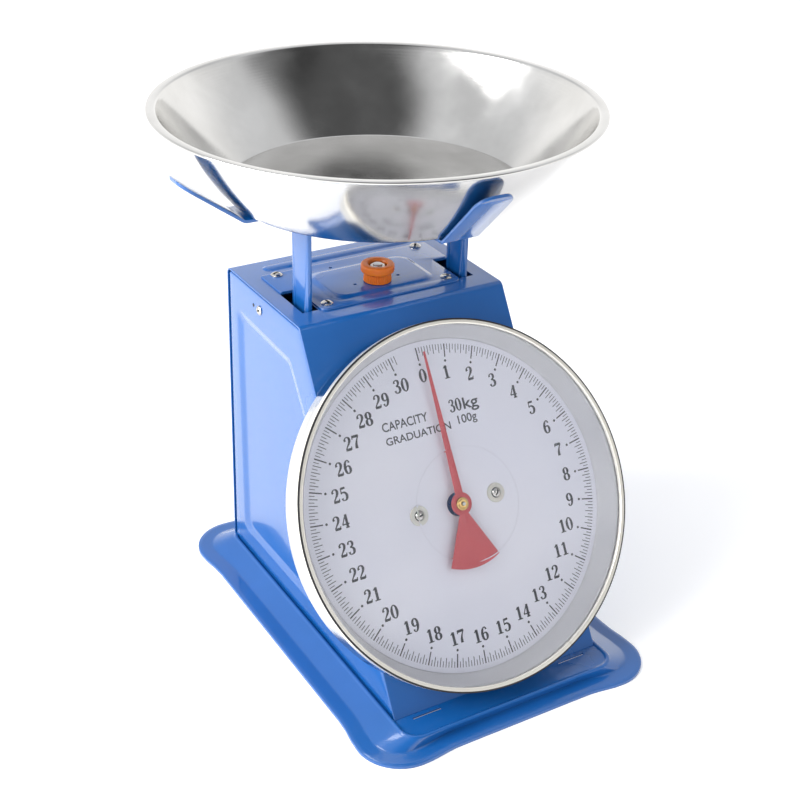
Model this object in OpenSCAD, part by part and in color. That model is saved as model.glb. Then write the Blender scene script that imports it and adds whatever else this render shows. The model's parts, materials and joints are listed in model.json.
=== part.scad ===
// Mechanical dial platform scale: a spring scale with a sloping round dial and a lift-off pan.
// Frame: millimetres, +Z up, the front (dial side) towards -Y. The origin is on the table,
// in the middle of the whole scale's outline. Everything hangs on the sizes below.

/* [Base plate] */
// Width of the base plate
base_w = 216; // [200:1:260]
// Depth of the base plate
base_d = 300; // [288:1:340]
// Radius of the base plate's corners
base_corner_r = 30; // [15:1:40]
// Height of the deck that carries the cover
deck_h = 8; // [7:0.5:12]
// Height of the pressed ridge round the deck, above the deck
ridge_h = 1.2; // [0.5:0.1:2.5]
// Width of the low flange round the base plate
flange_w = 11; // [8:0.5:14]
// Height of the flange's outer edge
flange_edge_h = 2.6; // [2:0.1:3.5]
// Depth of the shallow waist between the base plate's corners
waist_d = 3; // [0:0.5:4]
// Thickness of the base plate's sheet
base_t = 1.2; // [0.8:0.1:1.4]
// Distance from the back of the cover to the back of the base plate
cover_to_base_back = 25; // [20:1:40]

/* [Cover] */
// Height of the cover's top above the table
body_h = 227; // [214:1:260]
// Width of the cover at its foot
cover_w_foot = 157; // [150:1:170]
// Width of the cover at its top
cover_w_top = 153; // [148:1:160]
// Depth of the cover at its foot
cover_d_foot = 240; // [230:1:250]
// Depth of the cover's flat top
cover_d_top = 109; // [104:1:118]
// Outer radius of the cover's two bends
bend_r = 5; // [2:0.5:8]
// Thickness of the cover's sheet
cover_t = 1.2; // [0.8:0.1:1.6]
// Step from the cover's edge in to the side panels
side_inset = 1.6; // [0.8:0.1:3]
// Thickness of the side panels
side_t = 1; // [0.8:0.1:1.5]
// Plain border round the raised middle of each side panel
side_border = 18; // [10:1:24]
// Distance from the front of the cover's top back to the side screws
side_screw_back = 58.5; // [30:0.5:80]
// Distance from the cover's top down to the side screws
side_screw_drop = 12.5; // [12:0.5:16]

/* [Platform] */
// Distance from the platform's axis to the back of the cover
axis_to_back = 71; // [66:1:76]
// Distance from the platform's axis forward to the middle of the posts
post_forward = 8; // [4:1:10]
// Distance from the middle of the scale to the middle of each post
post_x = 59; // [56:0.5:61]
// Width of each post
post_w = 22; // [16:1:24]
// Thickness of each post
post_t = 3; // [2:0.1:3.5]
// Height of the cross arms above the cover
cross_rise = 65; // [60:1:90]
// Width of the cross arms
arm_w = 26; // [20:1:34]
// Thickness of the cross arms
arm_t = 2; // [1.5:0.1:3]
// Distance from the edge of the pan's floor out to where the arms bend up
arm_bend_gap = 2.5; // [1.5:0.5:6]
// Angle between the pan's wall and the bent-up tongues
tongue_lean = 16.2; // [14:0.1:24]
// Radius of the tongues' tips
tongue_reach = 140; // [125:1:142]
// Downward travel of the platform at full load
platform_travel = 21.3; // [16:0.1:21.4]

/* [Pan] */
// Outer radius of the pan's rim
pan_r = 145; // [143:0.5:160]
// Height of the pan
pan_h = 55; // [53:1:70]
// Radius of the pan's flat floor
pan_floor_r = 97.5; // [90:0.5:98]
// Thickness of the pan's sheet
pan_t = 0.8; // [0.6:0.1:1.2]
// Width of the pan's flat lip
pan_lip = 5.5; // [3:0.5:8]
// Bulge of the pan's wall from a straight cone
pan_bulge = 2.4; // [1:0.1:3]

/* [Dial] */
// Distance up the sloping front from its foot to the dial's centre
dial_up = 120.5; // [118:0.5:128]
// Outer radius of the dial case's trim ring
ring_r = 119.7; // [110:0.1:120]
// Distance from the sloping front to the front of the trim ring
dial_depth = 22.8; // [20:0.1:26]
// Width of the trim ring's face
ring_w = 3.6; // [2.5:0.1:5]
// Distance from the edge of the dial plate out to the trim ring's outer edge
dial_plate_margin = 11.1; // [10:0.1:18]
// Distance from the sloping front to the face of the dial plate
dial_plate_h = 4.6; // [3.6:0.1:6]
// Radius of the hole in the middle of the dial plate
dial_hole_r = 7.8; // [6:0.1:9]
// Distance from the dial's centre to each dial screw
dial_screw_x = 29.4; // [26:0.1:31]
// Gap between the pointer's tip and the edge of the dial plate
pointer_gap = 7.1; // [5:0.1:16]
// Radius of the pointer's tail
tail_r = 42.3; // [30:0.1:48]
// Half angle of the pointer's tail
tail_half_angle = 26; // [18:1:30]

/* [Movement] */
// Module of the rack and pinion
gear_module = 0.5; // [0.5:0.5:0.5]
// Teeth on the pinion
pinion_teeth = 12; // [12:1:12]
// Radius of the pointer shaft
shaft_r = 1.5; // [1:0.1:1.6]
// Running clearance of a shaft in its bush, on the radius
running_gap = 0.04; // [0.02:0.01:0.08]
// Depth of the movement's front plate behind the sloping front
plate_depth = 5; // [4:0.1:6]
// Gap between the movement's two plates
plate_gap = 19.5; // [19.5:0.1:24]
// Thickness of the movement's plates
plate_t = 1.5; // [1:0.1:2]

/* [Springs and links] */
// Distance from the middle of the scale to each spring
spring_x = 23; // [20:0.5:28]
// Outer radius of the springs
spring_r = 9; // [7:0.5:10]
// Radius of the spring wire
spring_wire_r = 1.1; // [0.8:0.1:1.4]
// Length of a guide link between its pins
link_l = 60; // [54:1:62]
// Width of a guide link's arms
link_w = 11; // [9:0.5:14]
// Radius of the link pins
pin_r = 2; // [1.5:0.1:2.5]
// Depth of the upper link pins below the cover's top
upper_pin_drop = 47; // [44:1:56]
// Depth of the lower link pins below the cover's top
lower_pin_drop = 149; // [140:1:152]

/* [Zero knob] */
// Distance from the platform's axis forward to the zero knob
knob_forward = 2.5; // [0:0.5:6]
// Radius of the knob's rim
knob_r = 11.3; // [9:0.1:14]
// Radius of the knob's collar
knob_collar_r = 9.4; // [7:0.1:10]
// Height of the knob
knob_h = 12.5; // [9:0.5:16]
// Radius of the threaded stud
stud_r = 3; // [2.5:0.1:3.5]

/* [Hidden] */
$fn = 72;

blue = [0.16, 0.42, 0.80];
steel = [0.75, 0.76, 0.78];
brass = [0.80, 0.62, 0.30];
cut = 0.1; // how far a cutting shape runs past what it cuts

// Places along Y. The whole outline, base front to pan back, is centred on the origin.
base_y = (cover_to_base_back + axis_to_back - pan_r) / 2;
base_back_y = base_y + base_d / 2;
cover_back_y = base_back_y - cover_to_base_back;
foot_front_y = cover_back_y - cover_d_foot;
top_front_y = cover_back_y - cover_d_top;
axis_y = cover_back_y - axis_to_back;
post_y = axis_y - post_forward;
knob_y = axis_y - knob_forward;

// The sloping front
panel_tilt = atan2(top_front_y - foot_front_y, body_h - deck_h);
dial_y = foot_front_y + dial_up * sin(panel_tilt);
dial_z = deck_h + dial_up * cos(panel_tilt);

// The platform
arm_z = body_h + cross_rise;
front_arm_z = arm_z + arm_t;
pan_z = front_arm_z + arm_t;
rim_z = pan_z + pan_h;
arm_bend_at = pan_floor_r + arm_bend_gap;
tongue_angle = atan2(pan_h - pan_t, pan_r - pan_lip - pan_floor_r) - tongue_lean;

// The dial
dial_plate_r = ring_r - dial_plate_margin;
pointer_reach = dial_plate_r - pointer_gap;

// Depths behind the sloping front
back_plate_depth = plate_depth + plate_t + plate_gap;
pinion_start = plate_depth + plate_t + 1.5;
pinion_len = plate_gap - 3;
rack_depth = pinion_start + 1.5;
rack_w = 3;

// Rack and pinion
pitch_r = gear_module * pinion_teeth / 2;
tooth_pitch = PI * gear_module;
backlash = 0.12;
pressure_angle = 20;
pinion_outer_r = pitch_r + gear_module;
pinion_root_r = pitch_r - 1.2 * gear_module;
rack_addendum = 0.6 * gear_module;
rack_dedendum = 1.3 * gear_module;
rack_run = platform_travel * cos(panel_tilt);
rack_teeth = ceil(rack_run / tooth_pitch) + 6;
rack_bar_t = 2.5;
rack_pin_up = 39;
rack_head_up = rack_pin_up + 4;
rack_pin_r = 0.88;
rack_back_x = pitch_r + rack_dedendum + rack_bar_t;

// The rack's pin, in the scale's own frame
rack_mid_depth = rack_depth + rack_w / 2;
rack_pin_y = dial_y + rack_mid_depth * cos(panel_tilt) + rack_pin_up * sin(panel_tilt);
rack_pin_z = dial_z - rack_mid_depth * sin(panel_tilt) + rack_pin_up * cos(panel_tilt);

// Beam between the posts
beam_t = 3;
beam_z = rack_pin_z + 2.5;
beam_top = beam_z + beam_t;
beam_tab_h = 14;
bracket_w = 12;
bracket_t = 2;
bracket_ear_t = 2;
bracket_x = rack_back_x + 0.1 + bracket_ear_t;

// Links
upper_pin_z = body_h - upper_pin_drop;
lower_pin_z = body_h - lower_pin_drop;
link_half_angle = asin(platform_travel / 2 / link_l);
link_sway = link_l * (1 - cos(link_half_angle));
link_pivot_y = post_y + link_l * cos(link_half_angle) + link_sway / 2;
pivot_drop = platform_travel / 2;
post_foot_z = lower_pin_z - 9;
link_arm_t = 2;
link_arm_x = post_x - post_t / 2 - 4 - link_arm_t;
stand_cheek_t = 2;
stand_cheek_x = link_arm_x + link_arm_t + 1;
stand_back_y = cover_back_y - cover_t - 3;
stand_h = upper_pin_z - pivot_drop + 14;
stand_bolt_inset = 9;
stand_window_h = 18;
stand_foot_w = 13;

// Zero adjuster
top_plate_t = 1.2;
top_emboss_h = 1.5;
top_plate_z = body_h;
knob_z = top_plate_z + top_plate_t + top_emboss_h + 0.2;
nut_flat = 10;
nut_h = 5;
knob_recess_d = 6.5;
hanger_t = 2.5;
hanger_z = body_h - 20;
hanger_w = 16;
spring_hole_r = spring_wire_r + 0.5;
spring_head_h = 2.2;

// Screws and cover details
screw_r = 2;
tab_w = 20;
tab_d = 12;
case_t = 0.8;
washer_r = 6.5;
washer_t = 1;
spindle_hole_r = 8;
slot_x = post_x - post_t / 2 - 4;
slot_w = post_t + 8.5;
slot_front = post_w / 2 + 1;
slot_back = post_w / 2 + 10;
top_plate_front = knob_y - 22;
top_plate_back = knob_y + 45.5;
notch_y = post_y + slot_back;
rear_screws = [slot_x + 1, top_plate_back - 4];
front_screws = [slot_x - 8, top_plate_front + 8];
top_screw_spots = [for (spot = [rear_screws, front_screws], s = [-1, 1]) [s * spot.x, spot.y]];
stud_opening_w = 76;
stud_opening_d = 36;

// ---------------------------------------------------------------- small helpers

function unit(v) = v / norm(v);
function turned(v, a) = [v.x * cos(a) - v.y * sin(a), v.x * sin(a) + v.y * cos(a)];

// Arc of radius r that rounds corner b of the path a, b, c.
function fillet(a, b, c, r, steps = 6) =
    let (
        u = unit(a - b),
        v = unit(c - b),
        half = acos(u * v) / 2,
        centre = b + unit(u + v) * r / sin(half),
        start = b + u * r / tan(half) - centre,
        way = cross(u, v) > 0 ? -1 : 1
    )
    [for (i = [0:steps]) centre + turned(start, way * (180 - 2 * half) * i / steps)];

// Points of an arc from p to q that bulges by sag to the right of the way from p to q,
// moved in towards its centre by inset.
function bulged(p, q, sag, inset = 0, steps = 16) =
    let (
        chord = norm(q - p),
        r = (chord * chord / 4 + sag * sag) / (2 * sag),
        left = turned(unit(q - p), 90),
        centre = (p + q) / 2 + left * (r - sag),
        from = atan2((p - centre).y, (p - centre).x),
        sweep = 2 * asin(chord / 2 / r)
    )
    [for (i = [0:steps]) let (a = from + sweep * i / steps) centre + (r - inset) * [cos(a), sin(a)]];

module rounded_rect(w, d, r) {
    square([w - 2 * r, d], center = true);
    square([w, d - 2 * r], center = true);
    for (sx = [-1, 1], sy = [-1, 1])
        translate([sx * (w / 2 - r), sy * (d / 2 - r)]) circle(r);
}

module tube(outer_r, inner_r, h) {
    difference() {
        cylinder(r = outer_r, h = h);
        translate([0, 0, -cut]) cylinder(r = inner_r, h = h + 2 * cut);
    }
}

// Screw with a domed cross head: head above z = 0, shank below it.
module screw(shank_r, head_r, head_h, length) {
    recess_w = head_r * 0.28;
    difference() {
        cylinder(r = head_r, h = head_h);
        for (a = [0, 90])
            rotate([0, 0, a]) translate([-head_r * 0.6, -recess_w / 2, head_h * 0.5])
                cube([head_r * 1.2, recess_w, head_h]);
    }
    translate([0, 0, -length]) cylinder(r = shank_r, h = length + cut);
}

module hex_nut(flat, bore_r, h) {
    difference() {
        cylinder(r = flat / 2 / cos(30), h = h, $fn = 6);
        translate([0, 0, -cut]) cylinder(r = bore_r, h = h + 2 * cut);
    }
}

// Places its children on the sloping front: local Z leaves the front, local Y runs up it.
module on_panel(up = dial_up) {
    translate([0, foot_front_y + up * sin(panel_tilt), deck_h + up * cos(panel_tilt)])
        rotate([90 - panel_tilt, 0, 0]) children();
}

// Lays a Y-Z outline across the scale, centred on x = 0.
module across(w) {
    translate([-w / 2, 0, 0]) rotate([90, 0, 90]) linear_extrude(height = w) children();
}

// Lays an X-Z outline along Y between two places.
module along(from_y, to_y) {
    translate([0, to_y, 0]) rotate([90, 0, 0]) linear_extrude(height = to_y - from_y) children();
}

// ---------------------------------------------------------------- base plate

deck_w = cover_w_foot + 6;
deck_front_y = foot_front_y - 22;
deck_back_y = cover_back_y + 4;
deck_mid_y = (deck_front_y + deck_back_y) / 2;
deck_d = deck_back_y - deck_front_y;

module base_outline(inset) {
    translate([0, base_y]) rounded_rect(base_w - 2 * inset, base_d - 2 * inset, base_corner_r - inset);
}

module deck_outline(inset) {
    translate([0, deck_mid_y]) rounded_rect(deck_w - 2 * inset, deck_d - 2 * inset, 10 - inset);
}

// The pressed form of the base: an edge, a low flange and a slope up to the ridge.
module base_form(inset, top_z) {
    $fn = 32;
    flange_top = flange_edge_h + 0.8 - inset;
    hull() {
        linear_extrude(height = flange_edge_h - inset) base_outline(inset);
        linear_extrude(height = flange_top) base_outline(flange_w);
    }
    hull() {
        linear_extrude(height = flange_top) base_outline(flange_w);
        linear_extrude(height = top_z) deck_outline(inset);
    }
}

module base_waists() {
    side_l = base_d / 2 - base_corner_r - 8;
    front_l = base_w / 2 - base_corner_r - 8;
    for (s = [-1, 1]) {
        translate([0, base_y, -cut]) linear_extrude(height = deck_h)
            polygon([[s * base_w, side_l], [s * base_w / 2, side_l],
                [s * (base_w / 2 - waist_d), side_l - 20], [s * (base_w / 2 - waist_d), 20 - side_l],
                [s * base_w / 2, -side_l], [s * base_w, -side_l]]);
        translate([0, base_y, -cut]) linear_extrude(height = deck_h)
            polygon([[front_l, s * base_d], [front_l, s * base_d / 2],
                [front_l - 20, s * (base_d / 2 - waist_d)], [20 - front_l, s * (base_d / 2 - waist_d)],
                [-front_l, s * base_d / 2], [-front_l, s * base_d]]);
    }
}

module foot_slots() {
    for (s = [-1, 1])
        translate([s * 56.5 - 10.5, foot_front_y - 4, -cut]) cube([21, 1.6, deck_h * 2]);
}

module base_plate() {
    color(blue) difference() {
        base_form(0, deck_h + ridge_h);
        translate([0, 0, -cut]) base_form(base_t, deck_h - base_t + cut);
        translate([0, 0, deck_h]) linear_extrude(height = deck_h) deck_outline(2);
        base_waists();
        foot_slots();
        foot_screw_spots() translate([0, 0, -cut]) cylinder(r = screw_r + 0.2, h = deck_h * 2);
        stand_screw_spots() translate([0, 0, -cut]) cylinder(r = screw_r + 0.2, h = deck_h * 2);
    }
}

// ---------------------------------------------------------------- cover and side panels

function front_y(z, inset) =
    foot_front_y + (z - deck_h) * tan(panel_tilt) + inset / cos(panel_tilt);

// Side view of the cover, moved in by inset and running down past the deck by drop.
function cover_outline(inset, drop = 0) =
    let (
        top_z = body_h - inset,
        foot_z = deck_h - drop,
        back = cover_back_y - inset,
        foot = [front_y(foot_z, inset), foot_z],
        brow = [front_y(top_z, inset), top_z],
        rear = [back, top_z],
        heel = [back, foot_z],
        r = bend_r - min(inset, bend_r - 1)
    )
    concat([foot], fillet(foot, brow, rear, r), fillet(brow, rear, heel, r), [heel]);

function half_w(z) =
    cover_w_foot / 2 - (cover_w_foot - cover_w_top) / 2 * (z - deck_h) / (body_h - deck_h);

// Front view of the cover, which narrows towards its top.
module tapered_front(inset) {
    polygon([[inset - cover_w_foot / 2, deck_h], [cover_w_foot / 2 - inset, deck_h],
        [cover_w_top / 2 - inset, body_h], [inset - cover_w_top / 2, body_h]]);
}

module foot_screw_spots() {
    for (sx = [-1, 1]) {
        translate([sx * 30, foot_front_y + cover_t + tab_d / 2 + 1, 0]) children();
        translate([sx * 30, cover_back_y - cover_t - tab_d / 2, 0]) children();
    }
}

module cover_tabs() {
    for (sx = [-1, 1]) {
        translate([sx * 30 - tab_w / 2, foot_front_y + cover_t / 2, deck_h])
            cube([tab_w, tab_d + cover_t, cover_t]);
        translate([sx * 30 - tab_w / 2, cover_back_y - cover_t / 2 - tab_d - cover_t, deck_h])
            cube([tab_w, tab_d + cover_t, cover_t]);
    }
}

side_lug_y = top_front_y + side_screw_back;
side_lug_z = body_h - side_screw_drop;
side_lug_x = cover_w_top / 2 - side_inset - side_t - cover_t - 0.6;

// Two lugs bent down from the cover's top, which the side panel screws go into.
module side_lugs() {
    for (s = [-1, 1])
        translate([s * side_lug_x - cover_t / 2, side_lug_y - 6, side_lug_z - 6])
            cube([cover_t, 12, body_h - cover_t / 2 - side_lug_z + 6]);
}

module post_slots() {
    for (s = [-1, 1])
        translate([s * (slot_x + slot_w / 2) - slot_w / 2, post_y - slot_front, body_h - bend_r])
            cube([slot_w, slot_front + slot_back, 4 * bend_r]);
}

module main_cover() {
    color(blue) {
        difference() {
            intersection() {
                difference() {
                    across(2 * cover_w_foot) polygon(cover_outline(0));
                    across(3 * cover_w_foot) polygon(cover_outline(cover_t, cut));
                }
                along(foot_front_y - 10, cover_back_y + 10) tapered_front(0);
            }
            post_slots();
            translate([-stud_opening_w / 2, knob_y - stud_opening_d / 2, body_h - bend_r])
                cube([stud_opening_w, stud_opening_d, 2 * bend_r]);
            on_panel() translate([0, 0, -bend_r]) cylinder(r = spindle_hole_r, h = 2 * bend_r);
            dial_screw_spots() translate([0, 0, -bend_r]) cylinder(r = screw_r + 0.2, h = 2 * bend_r);
            top_screw_places() translate([0, 0, -bend_r]) cylinder(r = screw_r + 0.1, h = 2 * bend_r);
        }
        difference() {
            cover_tabs();
            foot_screw_spots() cylinder(r = screw_r + 0.1, h = deck_h * 2);
        }
        difference() {
            side_lugs();
            side_screw_places() translate([0, 0, -10]) cylinder(r = screw_r - 0.4, h = 20);
        }
    }
}

module side_screw_places() {
    for (s = [-1, 1])
        translate([s * (half_w(side_lug_z) - side_inset + 0.1), side_lug_y, side_lug_z])
            rotate([0, s * 90, 0]) children();
}

module side_slab(outer, inner) {
    along(foot_front_y, cover_back_y) difference() {
        tapered_front(outer);
        translate([0, -cut]) tapered_front(inner);
        translate([0, cut]) tapered_front(inner);
    }
}

module side_panel(s) {
    gap = cover_t + 0.5;
    color(blue) difference() {
        intersection() {
            union() {
                intersection() {
                    side_slab(side_inset, side_inset + side_t);
                    across(2 * cover_w_foot) polygon(cover_outline(gap));
                }
                intersection() {
                    side_slab(side_inset - 0.7, side_inset + side_t / 2);
                    translate([0, 0, side_border]) across(2 * cover_w_foot)
                        intersection() {
                            polygon(cover_outline(gap + side_border));
                            translate([0, -1.6 * side_border]) polygon(cover_outline(gap + side_border));
                        }
                }
            }
            translate([s > 0 ? 0 : -cover_w_foot, foot_front_y, deck_h + 0.3])
                cube([cover_w_foot, cover_d_foot, body_h]);
        }
        side_screw_places() translate([0, 0, -10]) cylinder(r = screw_r - 0.2, h = 20);
    }
}

module left_side_panel() { side_panel(-1); }
module right_side_panel() { side_panel(1); }

module side_panel_screws() {
    color(steel) side_screw_places() screw(1.5, 3.2, 1.8, 6);
}

module cover_foot_screws() {
    color(steel) foot_screw_spots()
        translate([0, 0, deck_h - base_t]) rotate([180, 0, 0]) screw(screw_r, 4, 2.2, 5);
}

// ---------------------------------------------------------------- top cover plate

module top_screw_places() {
    for (p = top_screw_spots) translate([p.x, p.y, body_h]) children();
}

// Narrow between the post slots, and wider behind them.
module top_plate_outline() {
    neck_w = 2 * slot_x - 1.5;
    wide_w = 2 * (slot_x + slot_w) - 1;
    depth = top_plate_back - top_plate_front;
    translate([0, top_plate_front + depth / 2]) rounded_rect(neck_w, depth, 3);
    translate([0, (notch_y + top_plate_back) / 2]) rounded_rect(wide_w, top_plate_back - notch_y, 1.5);
}

module top_cover_plate() {
    emboss_w = 2 * front_screws.x - 16;
    emboss_d = 48;
    color(blue) difference() {
        union() {
            translate([0, 0, top_plate_z]) linear_extrude(height = top_plate_t) top_plate_outline();
            translate([0, knob_y + 9, top_plate_z]) linear_extrude(height = top_plate_t + top_emboss_h)
                rounded_rect(emboss_w, emboss_d, 12);
        }
        translate([0, knob_y + 9, top_plate_z - cut]) linear_extrude(height = top_emboss_h + cut)
            rounded_rect(emboss_w - 2 * top_plate_t, emboss_d - 2 * top_plate_t, 11);
        translate([0, knob_y, top_plate_z]) cylinder(r = stud_r + 0.5, h = 4 * top_plate_t);
        top_screw_places() translate([0, 0, -cut]) cylinder(r = screw_r + 0.2, h = 4 * top_plate_t);
        for (sx = [-1, 1], dy = [1, 35.5])
            translate([sx * 16.5, knob_y + dy, top_plate_z]) cylinder(r = 1.2, h = 4 * top_plate_t);
    }
}

module top_plate_screws() {
    color(steel) top_screw_places() translate([0, 0, top_plate_t]) screw(screw_r, 4, 2, 6);
}

// ---------------------------------------------------------------- link stand

module stand_screw_spots() {
    for (sx = [-1, 1], y = [link_pivot_y - 2, stand_back_y - stand_bolt_inset])
        translate([sx * (stand_cheek_x - stand_bolt_inset), y, 0]) children();
}

module stand_cheek() {
    cube_y = link_pivot_y - 9;
    difference() {
        translate([0, cube_y, deck_h]) cube([stand_cheek_t, stand_back_y - cube_y, stand_h - deck_h]);
        for (z = [upper_pin_z, lower_pin_z])
            translate([-cut, link_pivot_y, z - pivot_drop]) rotate([0, 90, 0])
                cylinder(r = pin_r + 0.02, h = stand_cheek_t + 2 * cut);
    }
}

module link_stand() {
    foot_y = link_pivot_y - 9;
    color(steel) {
        translate([stand_cheek_x, 0, 0]) stand_cheek();
        translate([-stand_cheek_x - stand_cheek_t, 0, 0]) stand_cheek();
        translate([-stand_cheek_x - cut, stand_back_y - stand_cheek_t, deck_h + stand_window_h])
            cube([2 * (stand_cheek_x + cut), stand_cheek_t, stand_h - deck_h - stand_window_h]);
        difference() {
            for (sx = [-1, 1])
                translate([sx * (stand_cheek_x - stand_foot_w / 2 + cut) - stand_foot_w / 2, foot_y, deck_h])
                    cube([stand_foot_w, stand_back_y - foot_y, 2]);
            stand_screw_spots() cylinder(r = screw_r + 0.1, h = deck_h * 2);
        }
    }
}

module stand_screws() {
    color(steel) stand_screw_spots()
        translate([0, 0, deck_h - base_t]) rotate([180, 0, 0]) screw(screw_r, 4, 2.2, 6);
}

module link_rods() {
    rod_l = 2 * (stand_cheek_x + stand_cheek_t + 1);
    color(steel) for (z = [upper_pin_z, lower_pin_z])
        translate([-rod_l / 2, link_pivot_y, z - pivot_drop]) rotate([0, 90, 0])
            cylinder(r = pin_r, h = rod_l);
}

// ---------------------------------------------------------------- guide links

// Link at rest, its post end raised by half of the platform's travel. The post eye is a
// slot, because the post moves straight while the link's end moves on an arc.
module guide_link(pin_z) {
    pivot_z = pin_z - pivot_drop;
    web_y = 22;
    eye_r = link_w / 2;
    color(steel) translate([0, link_pivot_y, pivot_z]) rotate([-link_half_angle, 0, 0]) {
        for (s = [-1, 1]) translate([s * (link_arm_x + link_arm_t / 2) - link_arm_t / 2, 0, 0])
            rotate([90, 0, 90]) linear_extrude(height = link_arm_t) difference() {
                union() {
                    circle(eye_r);
                    translate([-link_l, 0]) circle(eye_r);
                    translate([-link_l, -eye_r]) square([link_l, link_w]);
                }
                circle(pin_r + running_gap);
                for (dy = [-link_sway, link_sway]) translate([dy - link_l, 0]) circle(pin_r + 0.2);
                translate([-link_sway - link_l, -pin_r - 0.2]) square([2 * link_sway, 2 * pin_r + 0.4]);
            }
        translate([-link_arm_x - cut, -web_y - 12, -link_arm_t / 2])
            cube([2 * (link_arm_x + cut), 14, link_arm_t]);
    }
}

module upper_link() { guide_link(upper_pin_z); }
module lower_link() { guide_link(lower_pin_z); }

// ---------------------------------------------------------------- dial

module dial_screw_spots() {
    on_panel() for (sx = [-1, 1]) translate([sx * dial_screw_x, 0, 0]) children();
}

// Drum on the sloping front, open to the dial side.
module dial_case() {
    wall_r = ring_r - 1;
    color(steel) on_panel() difference() {
        union() {
            cylinder(r = wall_r, h = case_t);
            tube(wall_r, wall_r - case_t, dial_depth - 2.6);
        }
        translate([0, 0, -cut]) cylinder(r = spindle_hole_r, h = 2);
        for (sx = [-1, 1]) translate([sx * dial_screw_x, 0, -cut]) cylinder(r = screw_r + 0.2, h = 2);
    }
}

module dial_plate() {
    color("white") on_panel() translate([0, 0, dial_plate_h - 0.8]) difference() {
        cylinder(r = dial_plate_r, h = 0.8);
        translate([0, 0, -cut]) cylinder(r = dial_hole_r, h = 2);
        for (sx = [-1, 1]) translate([sx * dial_screw_x, 0, -cut]) cylinder(r = screw_r + 0.2, h = 2);
    }
}

module dial_spacers() {
    color(steel) dial_screw_spots() translate([0, 0, case_t])
        tube(screw_r + 2, screw_r + 0.1, dial_plate_h - 0.8 - case_t);
    color(steel) dial_screw_spots() translate([0, 0, -plate_depth])
        tube(screw_r + 2, screw_r + 0.1, plate_depth - cover_t);
}

module dial_washers() {
    color("ivory") dial_screw_spots() translate([0, 0, dial_plate_h]) tube(washer_r, screw_r + 0.1, washer_t);
}

module dial_screws() {
    length = dial_plate_h + washer_t + plate_depth + plate_t + 4;
    color(steel) dial_screw_spots() translate([0, 0, dial_plate_h + washer_t])
        screw(screw_r, 3.6, 1.8, length);
}

module dial_screw_nuts() {
    color(steel) dial_screw_spots() translate([0, 0, -plate_depth - plate_t - 3])
        hex_nut(7, screw_r + 0.02, 3);
}

// Sloping inner ring that holds the lens off the dial plate.
module lens_spacer_ring() {
    outer = ring_r - 1 - case_t - 0.1;
    color("silver") on_panel() rotate_extrude() polygon([[dial_plate_r + 0.2, case_t], [outer, case_t],
        [outer, dial_depth - 4.4], [outer - 2.2, dial_depth - 4.4], [dial_plate_r + 2, dial_plate_h + 2],
        [dial_plate_r + 0.2, dial_plate_h]]);
}

module dial_lens() {
    color([0.9, 0.95, 1, 0.3]) on_panel() translate([0, 0, dial_depth - 4.3])
        cylinder(r = ring_r - 1 - case_t - 0.2, h = 1.6);
}

// Rolled ring that clips over the edge of the case and keeps the lens in.
module trim_ring() {
    color("ivory") on_panel() rotate_extrude() polygon(concat(
        [[ring_r - ring_w, dial_depth - 2.5]],
        fillet([ring_r - ring_w, dial_depth - 2.5], [ring_r - ring_w, dial_depth], [ring_r, dial_depth], 0.8),
        fillet([ring_r - ring_w, dial_depth], [ring_r, dial_depth], [ring_r, dial_depth - 8], 1.4),
        [[ring_r, dial_depth - 6], [ring_r - 0.8, dial_depth - 6], [ring_r - 0.8, dial_depth - 2.5]]));
}

// ---------------------------------------------------------------- movement

front_plate_w = 2 * dial_screw_x + 14;
back_plate_w = 44;
movement_low = -20;
movement_high = 12;
pillar_spots = [[-18, -16], [18, -16], [-18, 8], [18, 8]];

module movement_plate(w, depth, bush_hole_r) {
    on_panel() translate([0, 0, -depth - plate_t]) difference() {
        translate([-w / 2, movement_low, 0]) cube([w, movement_high - movement_low, plate_t]);
        translate([0, 0, -cut]) cylinder(r = bush_hole_r, h = plate_t + 2 * cut);
        for (p = pillar_spots) translate([p.x, p.y, -cut]) cylinder(r = 1.4, h = plate_t + 2 * cut);
        for (sx = [-1, 1])
            translate([sx * dial_screw_x, 0, -cut]) cylinder(r = screw_r + 0.2, h = plate_t + 2 * cut);
    }
}

module movement_front_plate() { color(brass) movement_plate(front_plate_w, plate_depth, 3.02); }
module movement_back_plate() { color(brass) movement_plate(back_plate_w, back_plate_depth, 3.02); }

module movement_pillars() {
    color(brass) on_panel() for (p = pillar_spots) translate([p.x, p.y, -back_plate_depth]) {
        tube(2.5, 1.25, plate_gap);
        translate([0, 0, plate_gap - cut]) cylinder(r = 1.38, h = plate_t + cut);
    }
}

module movement_screws() {
    color(steel) on_panel() for (p = pillar_spots)
        translate([p.x, p.y, -back_plate_depth - plate_t]) rotate([180, 0, 0]) screw(1.2, 2.4, 1.4, 7);
}

module pivot_bush() {
    difference() {
        union() {
            cylinder(r = 3, h = plate_t + 0.5);
            translate([0, 0, plate_t]) cylinder(r = 4.4, h = 0.8);
        }
        translate([0, 0, -cut]) cylinder(r = shaft_r + running_gap, h = 4);
    }
}

module pivot_bushes() {
    color(brass) on_panel() {
        translate([0, 0, -plate_depth]) rotate([180, 0, 0]) pivot_bush();
        translate([0, 0, -back_plate_depth - plate_t]) pivot_bush();
    }
}

// ---------------------------------------------------------------- pointer, shaft and pinion

shaft_top = dial_plate_h + 9;
pointer_h = dial_plate_h + 5;
pointer_t = 0.6;

module pinion_shaft() {
    color(steel) on_panel() {
        translate([0, 0, -back_plate_depth - plate_t - 3])
            cylinder(r = shaft_r, h = back_plate_depth + plate_t + 3 + pointer_h + 2);
        cylinder(r = shaft_r - 0.4, h = shaft_top);
    }
}

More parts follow.
